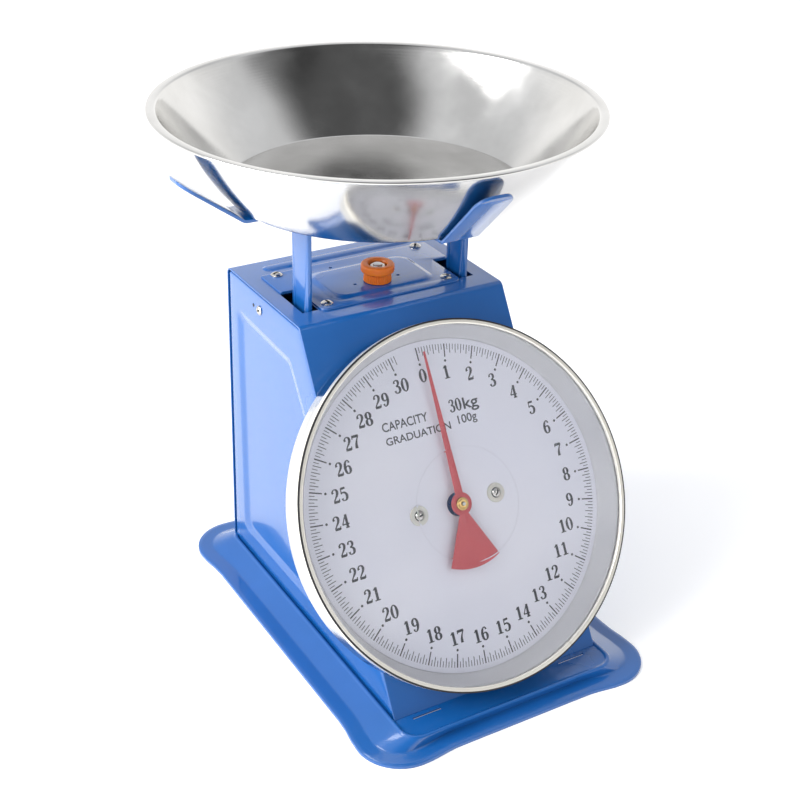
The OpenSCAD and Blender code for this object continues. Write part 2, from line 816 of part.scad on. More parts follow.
// Involute flank point at radius r, as an angle from the start of the involute.
function involute_angle(base_r, r) =
    let (roll = sqrt(max(r * r / (base_r * base_r) - 1, 0)))
    roll * 180 / PI - atan(roll);

function pinion_tooth(middle) =
    let (
        base_r = pitch_r * cos(pressure_angle),
        half_at_pitch = (tooth_pitch - backlash) / 4 / pitch_r * 180 / PI,
        half_at_base = half_at_pitch + involute_angle(base_r, pitch_r),
        radii = [for (i = [0:4]) base_r + (pinion_outer_r - base_r) * i / 4],
        flank = [for (r = radii) [r, half_at_base - involute_angle(base_r, r)]]
    )
    concat(
        [pinion_root_r * [cos(middle - half_at_base), sin(middle - half_at_base)]],
        [for (f = flank) f[0] * [cos(middle - f[1]), sin(middle - f[1])]],
        [for (i = [4:-1:0]) flank[i][0] * [cos(middle + flank[i][1]), sin(middle + flank[i][1])]],
        [pinion_root_r * [cos(middle + half_at_base), sin(middle + half_at_base)]]);

// Long pinion: the rack slides along it as the platform goes straight down.
module pinion() {
    step = 360 / pinion_teeth;
    color(brass) on_panel() translate([0, 0, -pinion_start - pinion_len]) difference() {
        linear_extrude(height = pinion_len)
            polygon([for (k = [0:pinion_teeth - 1]) each pinion_tooth((k + 0.5) * step)]);
        translate([0, 0, -cut]) cylinder(r = shaft_r + 0.02, h = pinion_len + 2 * cut);
    }
}

module pointer() {
    root_half_w = 3;
    tip_half_w = 0.7;
    color("red") on_panel() translate([0, 0, pointer_h]) difference() {
        linear_extrude(height = pointer_t) {
            circle(7.5);
            polygon([[-tip_half_w, pointer_reach], [-root_half_w, 0], [root_half_w, 0],
                [tip_half_w, pointer_reach]]);
            polygon(concat([[0, 0]], [for (i = [-6:6])
                tail_r * [sin(tail_half_angle * i / 6), -cos(tail_half_angle * i / 6)]]));
        }
        translate([0, 0, -cut]) cylinder(r = shaft_r + 0.02, h = 2);
    }
}

module pointer_collet() {
    color(brass) on_panel() translate([0, 0, pointer_h - 2]) tube(3.6, shaft_r + 0.02, 2);
}

module pointer_nut() {
    color(brass) on_panel() translate([0, 0, pointer_h + pointer_t]) {
        tube(4.3, shaft_r + 0.02, 1.4);
        translate([0, 0, 1.4]) tube(3.2, shaft_r - 0.35, 1);
    }
}

// ---------------------------------------------------------------- rack and its bracket

// Rack at rest: its lowest teeth are in mesh. The teeth face the pinion, across the scale.
module rack() {
    lean = tan(pressure_angle);
    tip_half = (tooth_pitch - backlash) / 4 - rack_addendum * lean;
    foot_half = tip_half + (rack_addendum + rack_dedendum) * lean;
    root_x = pitch_r + rack_dedendum;
    tip_x = pitch_r - rack_addendum;
    color(brass) on_panel() translate([0, 0, -rack_depth - rack_w]) difference() {
        linear_extrude(height = rack_w) {
            translate([root_x, -2.5 * tooth_pitch]) square([rack_bar_t, rack_head_up + 2.5 * tooth_pitch]);
            for (k = [-2:rack_teeth - 3]) translate([0, k * tooth_pitch])
                polygon([[root_x + cut, foot_half], [root_x, foot_half], [tip_x, tip_half],
                    [tip_x, -tip_half], [root_x, -foot_half], [root_x + cut, -foot_half]]);
        }
        translate([0, rack_pin_up, rack_w / 2]) rotate([0, 90, 0]) translate([0, 0, root_x - cut])
            cylinder(r = rack_pin_r + 0.02, h = rack_bar_t + 2 * cut, $fn = 32);
    }
}

module rack_bracket() {
    ear_r = 5;
    ear_x = rack_back_x + 0.1;
    strip_front = rack_pin_y - ear_r;
    color(steel) difference() {
        union() {
            translate([ear_x, rack_pin_y, rack_pin_z]) rotate([0, 90, 0])
                cylinder(r = ear_r, h = bracket_ear_t);
            translate([ear_x, strip_front, rack_pin_z])
                cube([bracket_ear_t, 2 * ear_r, beam_top + bracket_t - rack_pin_z]);
            translate([bracket_x - bracket_w, strip_front, beam_top])
                cube([bracket_w, post_y + post_w / 2 - strip_front, bracket_t]);
        }
        translate([ear_x - cut, rack_pin_y, rack_pin_z]) rotate([0, 90, 0])
            cylinder(r = rack_pin_r + 0.02, h = bracket_ear_t + 2 * cut, $fn = 32);
        bracket_screw_spots() translate([0, 0, -cut]) cylinder(r = 1.6, h = 3 * bracket_t);
    }
}

module rack_pin() {
    reach = rack_bar_t + 0.1 + bracket_ear_t + 1;
    color(steel) translate([rack_back_x - rack_bar_t - 0.2, rack_pin_y, rack_pin_z]) rotate([0, 90, 0]) {
        cylinder(r = rack_pin_r, h = reach + 0.2);
        translate([0, 0, reach - 0.8]) cylinder(r = 1.8, h = 1);
    }
}

module bracket_screw_spots() {
    for (dy = [-6, 6]) translate([bracket_x - bracket_w / 2, post_y + dy, beam_top]) children();
}

module bracket_screws() {
    color(steel) bracket_screw_spots() translate([0, 0, bracket_t])
        screw(1.5, 3, 1.6, bracket_t + beam_t + 1);
}

// ---------------------------------------------------------------- platform

module post(s) {
    tab_l = 16;
    outer_x = post_x + post_t / 2;
    color(blue) difference() {
        union() {
            translate([s * post_x - post_t / 2, post_y - post_w / 2, post_foot_z])
                cube([post_t, post_w, arm_z - post_foot_z]);
            translate([s * (outer_x - tab_l / 2) - tab_l / 2, post_y - post_w / 2, arm_z - post_t])
                cube([tab_l, post_w, post_t]);
        }
        for (z = [upper_pin_z, lower_pin_z]) side_hole(s, post_y, z, pin_r + 0.02);
        for (dy = [-5, 5]) side_hole(s, post_y + dy, beam_top - 10, 1.52);
        translate([s * (post_x - 7), post_y, arm_z - 2 * post_t]) cylinder(r = 1.62, h = 3 * post_t);
    }
}

module side_hole(s, y, z, r) {
    translate([s * post_x, y, z]) rotate([0, 90, 0]) translate([0, 0, -10]) cylinder(r = r, h = 20);
}

module left_post() { post(-1); }
module right_post() { post(1); }

module post_pins() {
    inner_x = link_arm_x - 0.6;
    length = post_x + post_t / 2 + 0.8 - inner_x;
    color(steel) for (s = [-1, 1], z = [upper_pin_z, lower_pin_z])
        translate([s * (inner_x + length / 2), post_y, z]) rotate([0, 90, 0])
            translate([0, 0, -length / 2]) cylinder(r = pin_r, h = length);
}

module lower_beam() {
    inner_x = post_x - post_t / 2;
    color(blue) difference() {
        union() {
            translate([-inner_x, post_y - post_w / 2, beam_z]) cube([2 * inner_x, post_w, beam_t]);
            for (s = [-1, 1])
                translate([s * (inner_x - beam_t / 2), post_y, beam_top - beam_tab_h])
                    translate([-beam_t / 2, -post_w / 2, 0]) cube([beam_t, post_w, beam_tab_h - cut]);
        }
        for (s = [-1, 1]) {
            for (dy = [-5, 5]) side_hole(s, post_y + dy, beam_top - 10, 1.52);
            translate([s * spring_x, knob_y, beam_z - cut]) cylinder(r = spring_hole_r, h = beam_t + 2 * cut);
        }
        bracket_screw_spots() translate([0, 0, -beam_t - cut]) cylinder(r = 1.6, h = 3 * beam_t);
    }
}

module beam_rivets() {
    length = post_t + beam_t + 1.6;
    color(steel) for (s = [-1, 1], dy = [-5, 5])
        translate([s * (post_x - beam_t / 2), post_y + dy, beam_top - 10]) rotate([0, 90, 0]) {
            translate([0, 0, -length / 2]) cylinder(r = 1.5, h = length);
            for (e = [-1, 1]) translate([0, 0, e * (length / 2 - 0.4) - 0.4]) cylinder(r = 2.6, h = 0.8);
        }
}

// Half of an arm's outline in the plane of its length: flat, then bent up into a tongue.
function arm_half(z) =
    let (
        slope = tan(tongue_angle),
        lower_bend = [arm_bend_at, z],
        lower_tip = [tongue_reach + 10, z + slope * (tongue_reach + 10 - arm_bend_at)],
        upper_bend = [arm_bend_at - arm_t * tan(tongue_angle / 2), z + arm_t],
        upper_tip = lower_tip + arm_t * [0, 1 / cos(tongue_angle)]
    )
    concat(fillet([0, z], lower_bend, lower_tip, 8), [lower_tip, upper_tip],
        fillet(upper_tip, upper_bend, [0, z + arm_t], 6));

// One arm of the cross, along X, with its tips rounded in plan.
module cross_arm(z) {
    half = arm_half(z);
    mirrored = [for (i = [len(half) - 1:-1:0]) [-half[i].x, half[i].y]];
    intersection() {
        rotate([90, 0, 0]) translate([0, 0, -arm_w]) linear_extrude(height = 2 * arm_w)
            polygon(concat(half, mirrored));
        linear_extrude(height = 2 * rim_z) rounded_rect(2 * tongue_reach, arm_w, 9);
    }
}

module arm_rivet_spots() {
    for (sx = [-1, 1]) {
        translate([sx * 7, axis_y, 0]) children();
        translate([sx * (post_x - 7), post_y, 0]) children();
    }
}

module cross_arm_side() {
    color(blue) difference() {
        translate([0, axis_y, 0]) cross_arm(arm_z);
        arm_rivet_spots() translate([0, 0, arm_z - cut]) cylinder(r = 1.62, h = arm_t + 2 * cut);
    }
}

module cross_arm_front() {
    color(blue) difference() {
        translate([0, axis_y, 0]) rotate([0, 0, 90]) cross_arm(front_arm_z);
        for (sx = [-1, 1]) translate([sx * 7, axis_y, front_arm_z - cut])
            cylinder(r = 1.62, h = arm_t + 2 * cut);
    }
}

// Flush at the top, so that the pan sits flat.
module cross_rivets() {
    color(steel) for (sx = [-1, 1]) {
        translate([sx * 7, axis_y, arm_z - 1.2]) cylinder(r = 1.6, h = 2 * arm_t + 1.2);
        translate([sx * 7, axis_y, arm_z - 1.2]) cylinder(r = 3, h = 1.2);
        translate([sx * (post_x - 7), post_y, arm_z - post_t - 1.2]) {
            cylinder(r = 1.6, h = post_t + arm_t + 1.2);
            cylinder(r = 3, h = 1.2);
        }
    }
}

// ---------------------------------------------------------------- springs and zero adjuster

// Extension spring as a ribbed sleeve, with straight ends through the beam and the hanger.
module extension_spring(s) {
    low = beam_top + 6;
    high = hanger_z - 6;
    coils = floor((high - low) / (2.6 * spring_wire_r));
    pitch = (high - low) / coils;
    bar_half = spring_r - spring_wire_r;
    lower_head_z = beam_z - spring_head_h;
    upper_head_z = hanger_z + hanger_t + 0.3;
    color(steel) translate([s * spring_x, knob_y, 0]) {
        rotate_extrude() polygon(concat([[spring_r - 2 * spring_wire_r, low]],
            [for (k = [0:coils - 1], e = [0, 0.5]) [spring_r - (e == 0 ? 0.7 : 0), low + (k + e) * pitch]],
            [[spring_r - 0.7, high], [spring_r - 2 * spring_wire_r, high]]));
        for (end = [[lower_head_z, low + 1], [high - 1, upper_head_z + 1]])
            translate([0, 0, end[0]]) cylinder(r = spring_wire_r, h = end[1] - end[0]);
        for (z = [low, high - 1.6])
            translate([-bar_half, -spring_wire_r, z]) cube([2 * bar_half, 2 * spring_wire_r, 1.6]);
        for (z = [lower_head_z, upper_head_z]) translate([0, 0, z]) cylinder(r = 2.6, h = spring_head_h);
    }
}

module left_spring() { extension_spring(-1); }
module right_spring() { extension_spring(1); }

module spring_hanger() {
    color(steel) translate([0, knob_y, hanger_z]) difference() {
        linear_extrude(height = hanger_t) rounded_rect(2 * spring_x + hanger_w, hanger_w, 4);
        for (s = [-1, 1]) translate([s * spring_x, 0, -cut])
            cylinder(r = spring_hole_r, h = hanger_t + 2 * cut);
        translate([0, 0, -cut]) cylinder(r = stud_r + 0.02, h = hanger_t + 2 * cut);
    }
}

stud_top = knob_z + knob_h - 0.5;

module zero_stud() {
    color(steel) translate([0, knob_y, 0]) {
        translate([0, 0, hanger_z - 4]) cylinder(r = nut_flat / 2 / cos(30), h = 4, $fn = 6);
        translate([0, 0, hanger_z - cut]) cylinder(r = stud_r, h = stud_top - hanger_z);
    }
}

module zero_knob() {
    rim_h = 6;
    color("orange") translate([0, knob_y, knob_z]) difference() {
        union() {
            cylinder(r = knob_collar_r, h = knob_h - rim_h + cut);
            translate([0, 0, knob_h - rim_h]) cylinder(r = knob_r, h = rim_h);
        }
        translate([0, 0, -cut]) cylinder(r = stud_r + 0.3, h = knob_h);
        translate([0, 0, knob_h - knob_recess_d])
            cylinder(r = nut_flat / 2 / cos(30) + 0.06, h = knob_recess_d + cut, $fn = 6);
        translate([0, 0, knob_h - 1.5]) cylinder(r = 7, h = 1.5 + cut);
    }
}

module knob_nut() {
    color(steel) translate([0, knob_y, knob_z + knob_h - knob_recess_d])
        hex_nut(nut_flat, stud_r + running_gap, nut_h);
}

// ---------------------------------------------------------------- pan

pan_wall_foot = [pan_floor_r, pan_z];
pan_wall_top = [pan_r - pan_lip, rim_z - pan_t];
pan_bead_r = 0.9;

module weighing_pan() {
    outer_wall = bulged(pan_wall_foot, pan_wall_top, pan_bulge);
    inner_wall = bulged(pan_wall_foot, pan_wall_top, pan_bulge, pan_t);
    inner_top = inner_wall[len(inner_wall) - 1];
    color(steel) translate([0, axis_y, 0]) {
        rotate_extrude($fn = 144) polygon(concat(
            [[0, pan_z]], outer_wall, [[pan_r - pan_bead_r, rim_z - pan_t], [pan_r - pan_bead_r, rim_z],
            [inner_top.x, rim_z]],
            [for (i = [len(inner_wall) - 1:-1:1]) inner_wall[i]],
            [[pan_floor_r - 0.6, pan_z + pan_t], [0, pan_z + pan_t]]));
        rotate_extrude($fn = 144) translate([pan_r - pan_bead_r, rim_z - pan_bead_r])
            circle(pan_bead_r, $fn = 24);
    }
}

// ---------------------------------------------------------------- output

base_plate();
main_cover();
left_side_panel();
right_side_panel();
side_panel_screws();
cover_foot_screws();
top_cover_plate();
top_plate_screws();
link_stand();
stand_screws();
link_rods();
dial_case();
dial_plate();
dial_spacers();
dial_washers();
dial_screws();
dial_screw_nuts();
lens_spacer_ring();
dial_lens();
trim_ring();
movement_front_plate();
movement_back_plate();
movement_pillars();
movement_screws();
pivot_bushes();
pinion_shaft();
pinion();
pointer();
pointer_collet();
pointer_nut();
rack();
rack_bracket();
rack_pin();
bracket_screws();
left_post();
right_post();
post_pins();
lower_beam();
beam_rivets();
cross_arm_side();
cross_arm_front();
cross_rivets();
left_spring();
right_spring();
spring_hanger();
zero_stud();
zero_knob();
knob_nut();
upper_link();
lower_link();
weighing_pan();
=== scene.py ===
import json
from math import acos, ceil, cos, pi, radians, sin, tan

import bmesh
import bpy
from mathutils import Matrix, Vector
from mathutils.geometry import tessellate_polygon


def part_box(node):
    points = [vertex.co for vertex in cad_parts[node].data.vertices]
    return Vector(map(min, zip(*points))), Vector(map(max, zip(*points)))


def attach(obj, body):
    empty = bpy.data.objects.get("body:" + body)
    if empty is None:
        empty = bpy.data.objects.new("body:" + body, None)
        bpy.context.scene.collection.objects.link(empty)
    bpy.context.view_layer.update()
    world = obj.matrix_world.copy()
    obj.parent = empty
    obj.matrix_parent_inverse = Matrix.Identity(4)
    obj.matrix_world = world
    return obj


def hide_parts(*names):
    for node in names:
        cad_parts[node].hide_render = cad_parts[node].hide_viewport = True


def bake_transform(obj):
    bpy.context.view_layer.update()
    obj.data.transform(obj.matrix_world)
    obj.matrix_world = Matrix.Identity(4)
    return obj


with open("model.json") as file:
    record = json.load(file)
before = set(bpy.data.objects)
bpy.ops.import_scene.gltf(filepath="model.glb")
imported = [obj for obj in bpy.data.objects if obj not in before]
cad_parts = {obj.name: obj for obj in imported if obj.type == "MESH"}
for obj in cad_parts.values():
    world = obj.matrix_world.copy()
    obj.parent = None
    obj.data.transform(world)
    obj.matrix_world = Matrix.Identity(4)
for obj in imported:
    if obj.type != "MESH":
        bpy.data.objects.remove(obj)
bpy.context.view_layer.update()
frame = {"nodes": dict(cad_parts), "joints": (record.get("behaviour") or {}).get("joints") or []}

MM = 0.001
RIGHT = Vector((1, 0, 0))
UP = Vector((0, 0, 1))
ROUND = 256  # segments round a large circle


# ------------------------------------------------------------ places from the frame

def reach(node, direction, origin=Vector((0, 0, 0))):
    """How far a CAD node reaches along a direction from an origin: (least, most)."""
    along = [(v.co - origin).dot(direction) for v in frame["nodes"][node].data.vertices]
    return min(along), max(along)


def joint(name):
    return next(j for j in frame["joints"] if j["name"] == name)


def clusters(node, gap):
    """Centres of the boxes of a node's separate solids, which lie more than gap apart."""
    groups = []
    for v in frame["nodes"][node].data.vertices:
        home = next((g for g in groups if (g[0] - v.co).length < gap), None)
        if home is None:
            groups.append([v.co.copy()])
        else:
            home.append(v.co.copy())
    boxes = [(Vector(map(min, *g)), Vector(map(max, *g))) for g in groups]
    return [(low + high) / 2 for low, high in boxes]


DIAL = Vector(joint("pointer_turn")["pos_m"])
OUT = -Vector(joint("pointer_turn")["axis"])
SLOPE = OUT.cross(RIGHT)
TILT = acos(SLOPE.z)
DIAL_PLACE = Matrix.Translation(DIAL) @ Matrix((RIGHT, SLOPE, OUT)).transposed().to_4x4()

RING_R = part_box("trim_ring")[1].x
RING_TOP = reach("trim_ring", OUT, DIAL)[1]
PLATE_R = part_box("dial_plate")[1].x
PLATE_TOP = reach("dial_plate", OUT, DIAL)[1]
CASE_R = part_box("dial_case")[1].x
CASE_TOP = reach("dial_case", OUT, DIAL)[1]
LENS_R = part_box("dial_lens")[1].x
LENS_LOW, LENS_TOP = reach("dial_lens", OUT, DIAL)
POINTER_LOW, POINTER_TOP = reach("pointer", OUT, DIAL)
POINTER_REACH = reach("pointer", SLOPE, DIAL)[1]
TAIL_R = -reach("pointer", SLOPE, DIAL)[0]

DECK_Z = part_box("main_cover")[0].z
TOP_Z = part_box("main_cover")[1].z
FOOT_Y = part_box("main_cover")[0].y
COVER_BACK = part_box("main_cover")[1].y
FOOT_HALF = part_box("main_cover")[1].x
TOP_HALF = FOOT_HALF - 2 * MM
SHEET = 1.2 * MM
PANEL_STEP = 0.4 * MM

WASHER_R = 6.5 * MM
DIAL_SCREW_R = 3 * MM
SCREW_X = reach("dial_washers", RIGHT, DIAL)[1] - WASHER_R

BASE_LOW, BASE_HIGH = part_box("base_plate")
PAN_LOW, PAN_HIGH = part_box("weighing_pan")
PAN_AXIS = Vector((0, (PAN_LOW.y + PAN_HIGH.y) / 2, PAN_LOW.z))


# ------------------------------------------------------------ meshes

def show(name, verts, faces, body, slot, look, replaces=(), crease=35):
    """Makes a smooth-shaded piece that rides on a CAD body and stands for CAD nodes."""
    mesh = bpy.data.meshes.new(name)
    mesh.from_pydata([tuple(v) for v in verts], [], faces)
    work = bmesh.new()
    work.from_mesh(mesh)
    bmesh.ops.remove_doubles(work, verts=work.verts, dist=1e-6)
    bmesh.ops.dissolve_degenerate(work, edges=work.edges, dist=1e-7)
    bmesh.ops.recalc_face_normals(work, faces=work.faces)
    work.to_mesh(mesh)
    work.free()
    mesh.shade_smooth()
    mesh.set_sharp_from_angle(angle=radians(crease))
    mesh.materials.append(look)
    piece = bpy.data.objects.new(name, mesh)
    bpy.context.scene.collection.objects.link(piece)
    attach(piece, body)
    if replaces:
        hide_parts(*replaces)
    return piece


def bevel(piece, width, segments=3, angle=35):
    """Rounds a piece's sharp edges."""
    edge = piece.modifiers.new("rounded edges", "BEVEL")
    edge.width = width
    edge.segments = segments
    edge.limit_method = "ANGLE"
    edge.angle_limit = radians(angle)
    edge.harden_normals = True
    return piece


def settle(piece):
    """Applies a piece's modifiers to its mesh."""
    solved = piece.evaluated_get(bpy.context.evaluated_depsgraph_get())
    mesh = bpy.data.meshes.new_from_object(solved)
    piece.modifiers.clear()
    piece.data = mesh


def carve(piece, cutters):
    """Cuts closed shapes, each (verts, faces), out of a piece."""
    for verts, faces in cutters:
        mesh = bpy.data.meshes.new("cutter")
        mesh.from_pydata([tuple(v) for v in verts], [], faces)
        tool = bpy.data.objects.new("cutter", mesh)
        bpy.context.scene.collection.objects.link(tool)
        cut = piece.modifiers.new("cut", "BOOLEAN")
        cut.object = tool
        cut.solver = "EXACT"
        settle(piece)
        bpy.data.objects.remove(tool)
    piece.data.set_sharp_from_angle(angle=radians(35))


def joined(parts):
    """Several (verts, faces) as one."""
    verts, faces = [], []
    for part_verts, part_faces in parts:
        start = len(verts)
        verts += part_verts
        faces += [[start + i for i in face] for face in part_faces]
    return verts, faces


def loft(rings, looped=True, caps=(False, False), round_again=False):
    """Skins rings of equal counts. looped closes each ring; round_again joins last to first."""
    count = len(rings[0])
    verts = [Vector(p) for ring in rings for p in ring]
    pairs = [(r, r + 1) for r in range(len(rings) - 1)]
    if round_again:
        pairs.append((len(rings) - 1, 0))
    spans = range(count if looped else count - 1)
    faces = [[a * count + i, a * count + (i + 1) % count, b * count + (i + 1) % count, b * count + i]
             for a, b in pairs for i in spans]
    if caps[0]:
        faces.append(list(range(count)))
    if caps[1]:
        faces.append([(len(rings) - 1) * count + i for i in range(count)])
    return verts, faces


def lathe(profile, place, segments=ROUND, sweep=2 * pi, start=0.0, flute=lambda r, h, a: r):
    """Turns a closed profile of (radius, height) points about a place's Z axis."""
    full = sweep > 2 * pi - 1e-6
    steps = segments if full else segments + 1
    rings = []
    for i in range(steps):
        a = start + sweep * i / segments
        rings.append([place @ Vector((flute(r, h, a) * cos(a), flute(r, h, a) * sin(a), h))
                      for r, h in profile])
    return loft(rings, caps=(not full, not full), round_again=full)


def bent(a, b, c, r, steps=6):
    """Points of an arc of radius r that rounds corner b of the 2D path a, b, c. A straight
    corner gives as many equal points, so that rings keep equal counts."""
    u, v = (a - b).normalized(), (c - b).normalized()
    half = acos(max(-1, min(1, u.dot(v)))) / 2
    if r <= 0:
        return [b]
    if half > pi / 2 - 1e-3:
        return [b.copy() for _ in range(steps + 1)]
    r = min(r, 0.49 * min((a - b).length, (c - b).length) * tan(half))
    centre = b + (u + v).normalized() * r / sin(half)
    first = b + u * r / tan(half) - centre
    turn = (pi - 2 * half) * (-1 if u.x * v.y - u.y * v.x > 0 else 1)
    return [centre + Matrix.Rotation(turn * i / steps, 2) @ first for i in range(steps + 1)]


def softened(points, r, steps=6, looped=True):
    """A 2D path with its corners rounded. r is one radius, or one for each point."""
    points = [Vector(p) for p in points]
    radii = list(r) if hasattr(r, "__len__") else [r] * len(points)
    out = []
    for i, b in enumerate(points):
        if not looped and i in (0, len(points) - 1):
            out.append(b)
        else:
            out += bent(points[i - 1], b, points[(i + 1) % len(points)], radii[i], steps)
    return out


def thickened(path, t):
    """Closed outline of a sheet of thickness t, whose one face follows the open 2D path."""
    other = []
    for i, p in enumerate(path):
        ahead = path[min(i + 1, len(path) - 1)] - path[max(i - 1, 0)]
        n = Vector((-ahead.y, ahead.x)).normalized()
        other.append(p + n * t)
    return list(path) + other[::-1]


def box_shape(low, high):
    corners = [(x, y, z) for x in (low[0], high[0]) for y in (low[1], high[1]) for z in (low[2], high[2])]
    faces = [(0, 1, 3, 2), (4, 6, 7, 5), (0, 4, 5, 1), (2, 3, 7, 6), (0, 2, 6, 4), (1, 5, 7, 3)]
    return [Vector(c) for c in corners], [list(f) for f in faces]


def flat_with_holes(loops, place):
    """Fills the first 2D loop, less the others, on a place's XY plane."""
    points = [Vector((p[0], p[1], 0)) for loop in loops for p in loop]
    tris = tessellate_polygon([[Vector((p[0], p[1], 0)) for p in loop] for loop in loops])
    return [place @ p for p in points], [list(t) for t in tris]


def ease(t):
    return t * t * (3 - 2 * t)


# ------------------------------------------------------------ finishes

def turned_lines(nodes, links, moved, fine, rings):
    """Relief of rings about the middle of the moved coordinates, laid over the fine grain."""
    lines = nodes.new("ShaderNodeTexWave")
    lines.wave_type = "RINGS"
    lines.rings_direction = "Z"
    lines.inputs["Scale"].default_value = rings
    lines.inputs["Distortion"].default_value = 0.6
    lines.inputs["Detail"].default_value = 3
    links.new(moved.outputs["Vector"], lines.inputs["Vector"])
    both = nodes.new("ShaderNodeMath")
    both.operation = "MULTIPLY_ADD"
    both.inputs[1].default_value = 0.35
    links.new(lines.outputs["Fac"], both.inputs[0])
    links.new(fine.outputs["Fac"], both.inputs[2])
    return both.outputs[0]


def finish_look(name, colour, shade, rough, swing=0.05, metal=0.0, grain=1200.0, drift=18.0,
                bump=0.08, stretch=(1, 1, 1), centre=(0, 0, 0), rings=0.0, **sockets):
    """Surface whose colour drifts to shade, with uneven roughness, fine grain and, with rings,
    fine turned lines about centre. sockets are further inputs of the shader."""
    look = bpy.data.materials.new(name)
    look.use_nodes = True
    nodes, links = look.node_tree.nodes, look.node_tree.links
    shader = nodes["Principled BSDF"]
    where = nodes.new("ShaderNodeTexCoord")
    moved = nodes.new("ShaderNodeMapping")
    moved.inputs["Location"].default_value = [-c * s for c, s in zip(centre, stretch)]
    moved.inputs["Scale"].default_value = stretch
    links.new(where.outputs["Object"], moved.inputs["Vector"])
    clouds = nodes.new("ShaderNodeTexNoise")
    clouds.inputs["Scale"].default_value = drift
    clouds.inputs["Detail"].default_value = 5
    fine = nodes.new("ShaderNodeTexNoise")
    fine.inputs["Scale"].default_value = grain
    fine.inputs["Detail"].default_value = 3
    for texture in (clouds, fine):
        links.new(moved.outputs["Vector"], texture.inputs["Vector"])
    tint = nodes.new("ShaderNodeValToRGB")
    tint.color_ramp.elements[0].position = 0.35
    tint.color_ramp.elements[0].color = (*colour, 1)
    tint.color_ramp.elements[1].position = 0.72
    tint.color_ramp.elements[1].color = (*shade, 1)
    links.new(clouds.outputs["Fac"], tint.inputs["Fac"])
    links.new(tint.outputs["Color"], shader.inputs["Base Color"])
    relief = turned_lines(nodes, links, moved, fine, rings) if rings else fine.outputs["Fac"]
    gloss = nodes.new("ShaderNodeMapRange")
    gloss.inputs["From Min"].default_value = 0.3
    gloss.inputs["From Max"].default_value = 0.75
    gloss.inputs["To Min"].default_value = max(0.02, rough - swing)
    gloss.inputs["To Max"].default_value = rough + swing
    links.new(clouds.outputs["Fac"], gloss.inputs["Value"])
    links.new(gloss.outputs["Result"], shader.inputs["Roughness"])
    dents = nodes.new("ShaderNodeBump")
    dents.inputs["Strength"].default_value = bump
    dents.inputs["Distance"].default_value = 0.0004
    links.new(relief, dents.inputs["Height"])
    links.new(dents.outputs["Normal"], shader.inputs["Normal"])
    shader.inputs["Metallic"].default_value = metal
    for socket, value in sockets.items():
        shader.inputs[socket.replace("_", " ").title().replace("Ior", "IOR")].default_value = value
    return look


def make_looks():
    axis = tuple(PAN_AXIS)
    return {
        "blue": finish_look("blue_enamel", (0.005, 0.09, 0.325), (0.008, 0.102, 0.36), 0.24, 0.05,
                            grain=700, bump=0.05, coat_weight=0.8, coat_roughness=0.06, coat_ior=1.5),
        "pan": finish_look("stainless_sheet", (0.66, 0.65, 0.63), (0.78, 0.77, 0.75), 0.15, 0.07,
                           metal=1, centre=axis, rings=260, bump=0.03, grain=900, drift=26),
        "chrome": finish_look("polished_steel", (0.86, 0.83, 0.75), (0.92, 0.89, 0.82), 0.2, 0.05,
                              metal=0.55, bump=0.03),
        "wall": finish_look("drawn_steel", (0.55, 0.55, 0.53), (0.7, 0.7, 0.68), 0.12, 0.05, metal=1),
        "nickel": finish_look("nickel_plate", (0.5, 0.48, 0.45), (0.66, 0.64, 0.6), 0.2, 0.06,
                              metal=1, drift=300),
        "zinc": finish_look("zinc_plate", (0.52, 0.53, 0.54), (0.66, 0.66, 0.64), 0.36, 0.08, metal=1,
                            drift=60),
        "spring": finish_look("spring_wire", (0.16, 0.16, 0.17), (0.26, 0.25, 0.24), 0.34, 0.08,
                              metal=1, drift=90),
        "brass": finish_look("turned_brass", (0.6, 0.4, 0.14), (0.72, 0.52, 0.22), 0.26, 0.07,
                             metal=1, drift=140),
        "white": finish_look("dial_enamel", (0.86, 0.86, 0.93), (0.89, 0.89, 0.96), 0.42, 0.04,
                             drift=9, bump=0.02),
        "ink": finish_look("dial_ink", (0.055, 0.057, 0.068), (0.08, 0.082, 0.094), 0.6, 0.05,
                           drift=250, bump=0.03),
        "red": finish_look("red_enamel", (0.58, 0.075, 0.09), (0.64, 0.09, 0.1), 0.34, 0.06,
                           drift=40, bump=0.03),
        "ivory": finish_look("ivory_plastic", (0.72, 0.7, 0.62), (0.78, 0.76, 0.68), 0.42, 0.06,
                             subsurface_weight=0.1, subsurface_scale=0.002),
        "grey": finish_look("grey_plastic", (0.7, 0.7, 0.71), (0.76, 0.76, 0.77), 0.4, 0.06),
        "orange": finish_look("orange_plastic", (0.62, 0.13, 0.003), (0.68, 0.16, 0.005), 0.42, 0.06,
                              drift=120, subsurface_weight=0.12, subsurface_scale=0.002),
        "lens": finish_look("clear_sheet", (0.93, 0.94, 0.97), (0.96, 0.965, 0.98), 0.05, 0.02,
                            drift=12, bump=0.01, transmission_weight=1.0, ior=1.3),
        # painted shade: near-black finish for the dark pieces that stand for shade in a hole, the screw
        # slots, the washer bores and the trim ring's groove
        "dark": finish_look("painted_shade", (0.008, 0.009, 0.012), (0.02, 0.02, 0.022), 0.75, 0.1, drift=200),
        "floor": finish_look("studio_floor", (0.9, 0.9, 0.91), (0.92, 0.92, 0.93), 0.7, 0.05,
                             drift=3, grain=200, bump=0.01, emission_color=(1, 1, 1, 1),
                             emission_strength=0.24),
    }


LOOK = make_looks()


# ------------------------------------------------------------ base plate

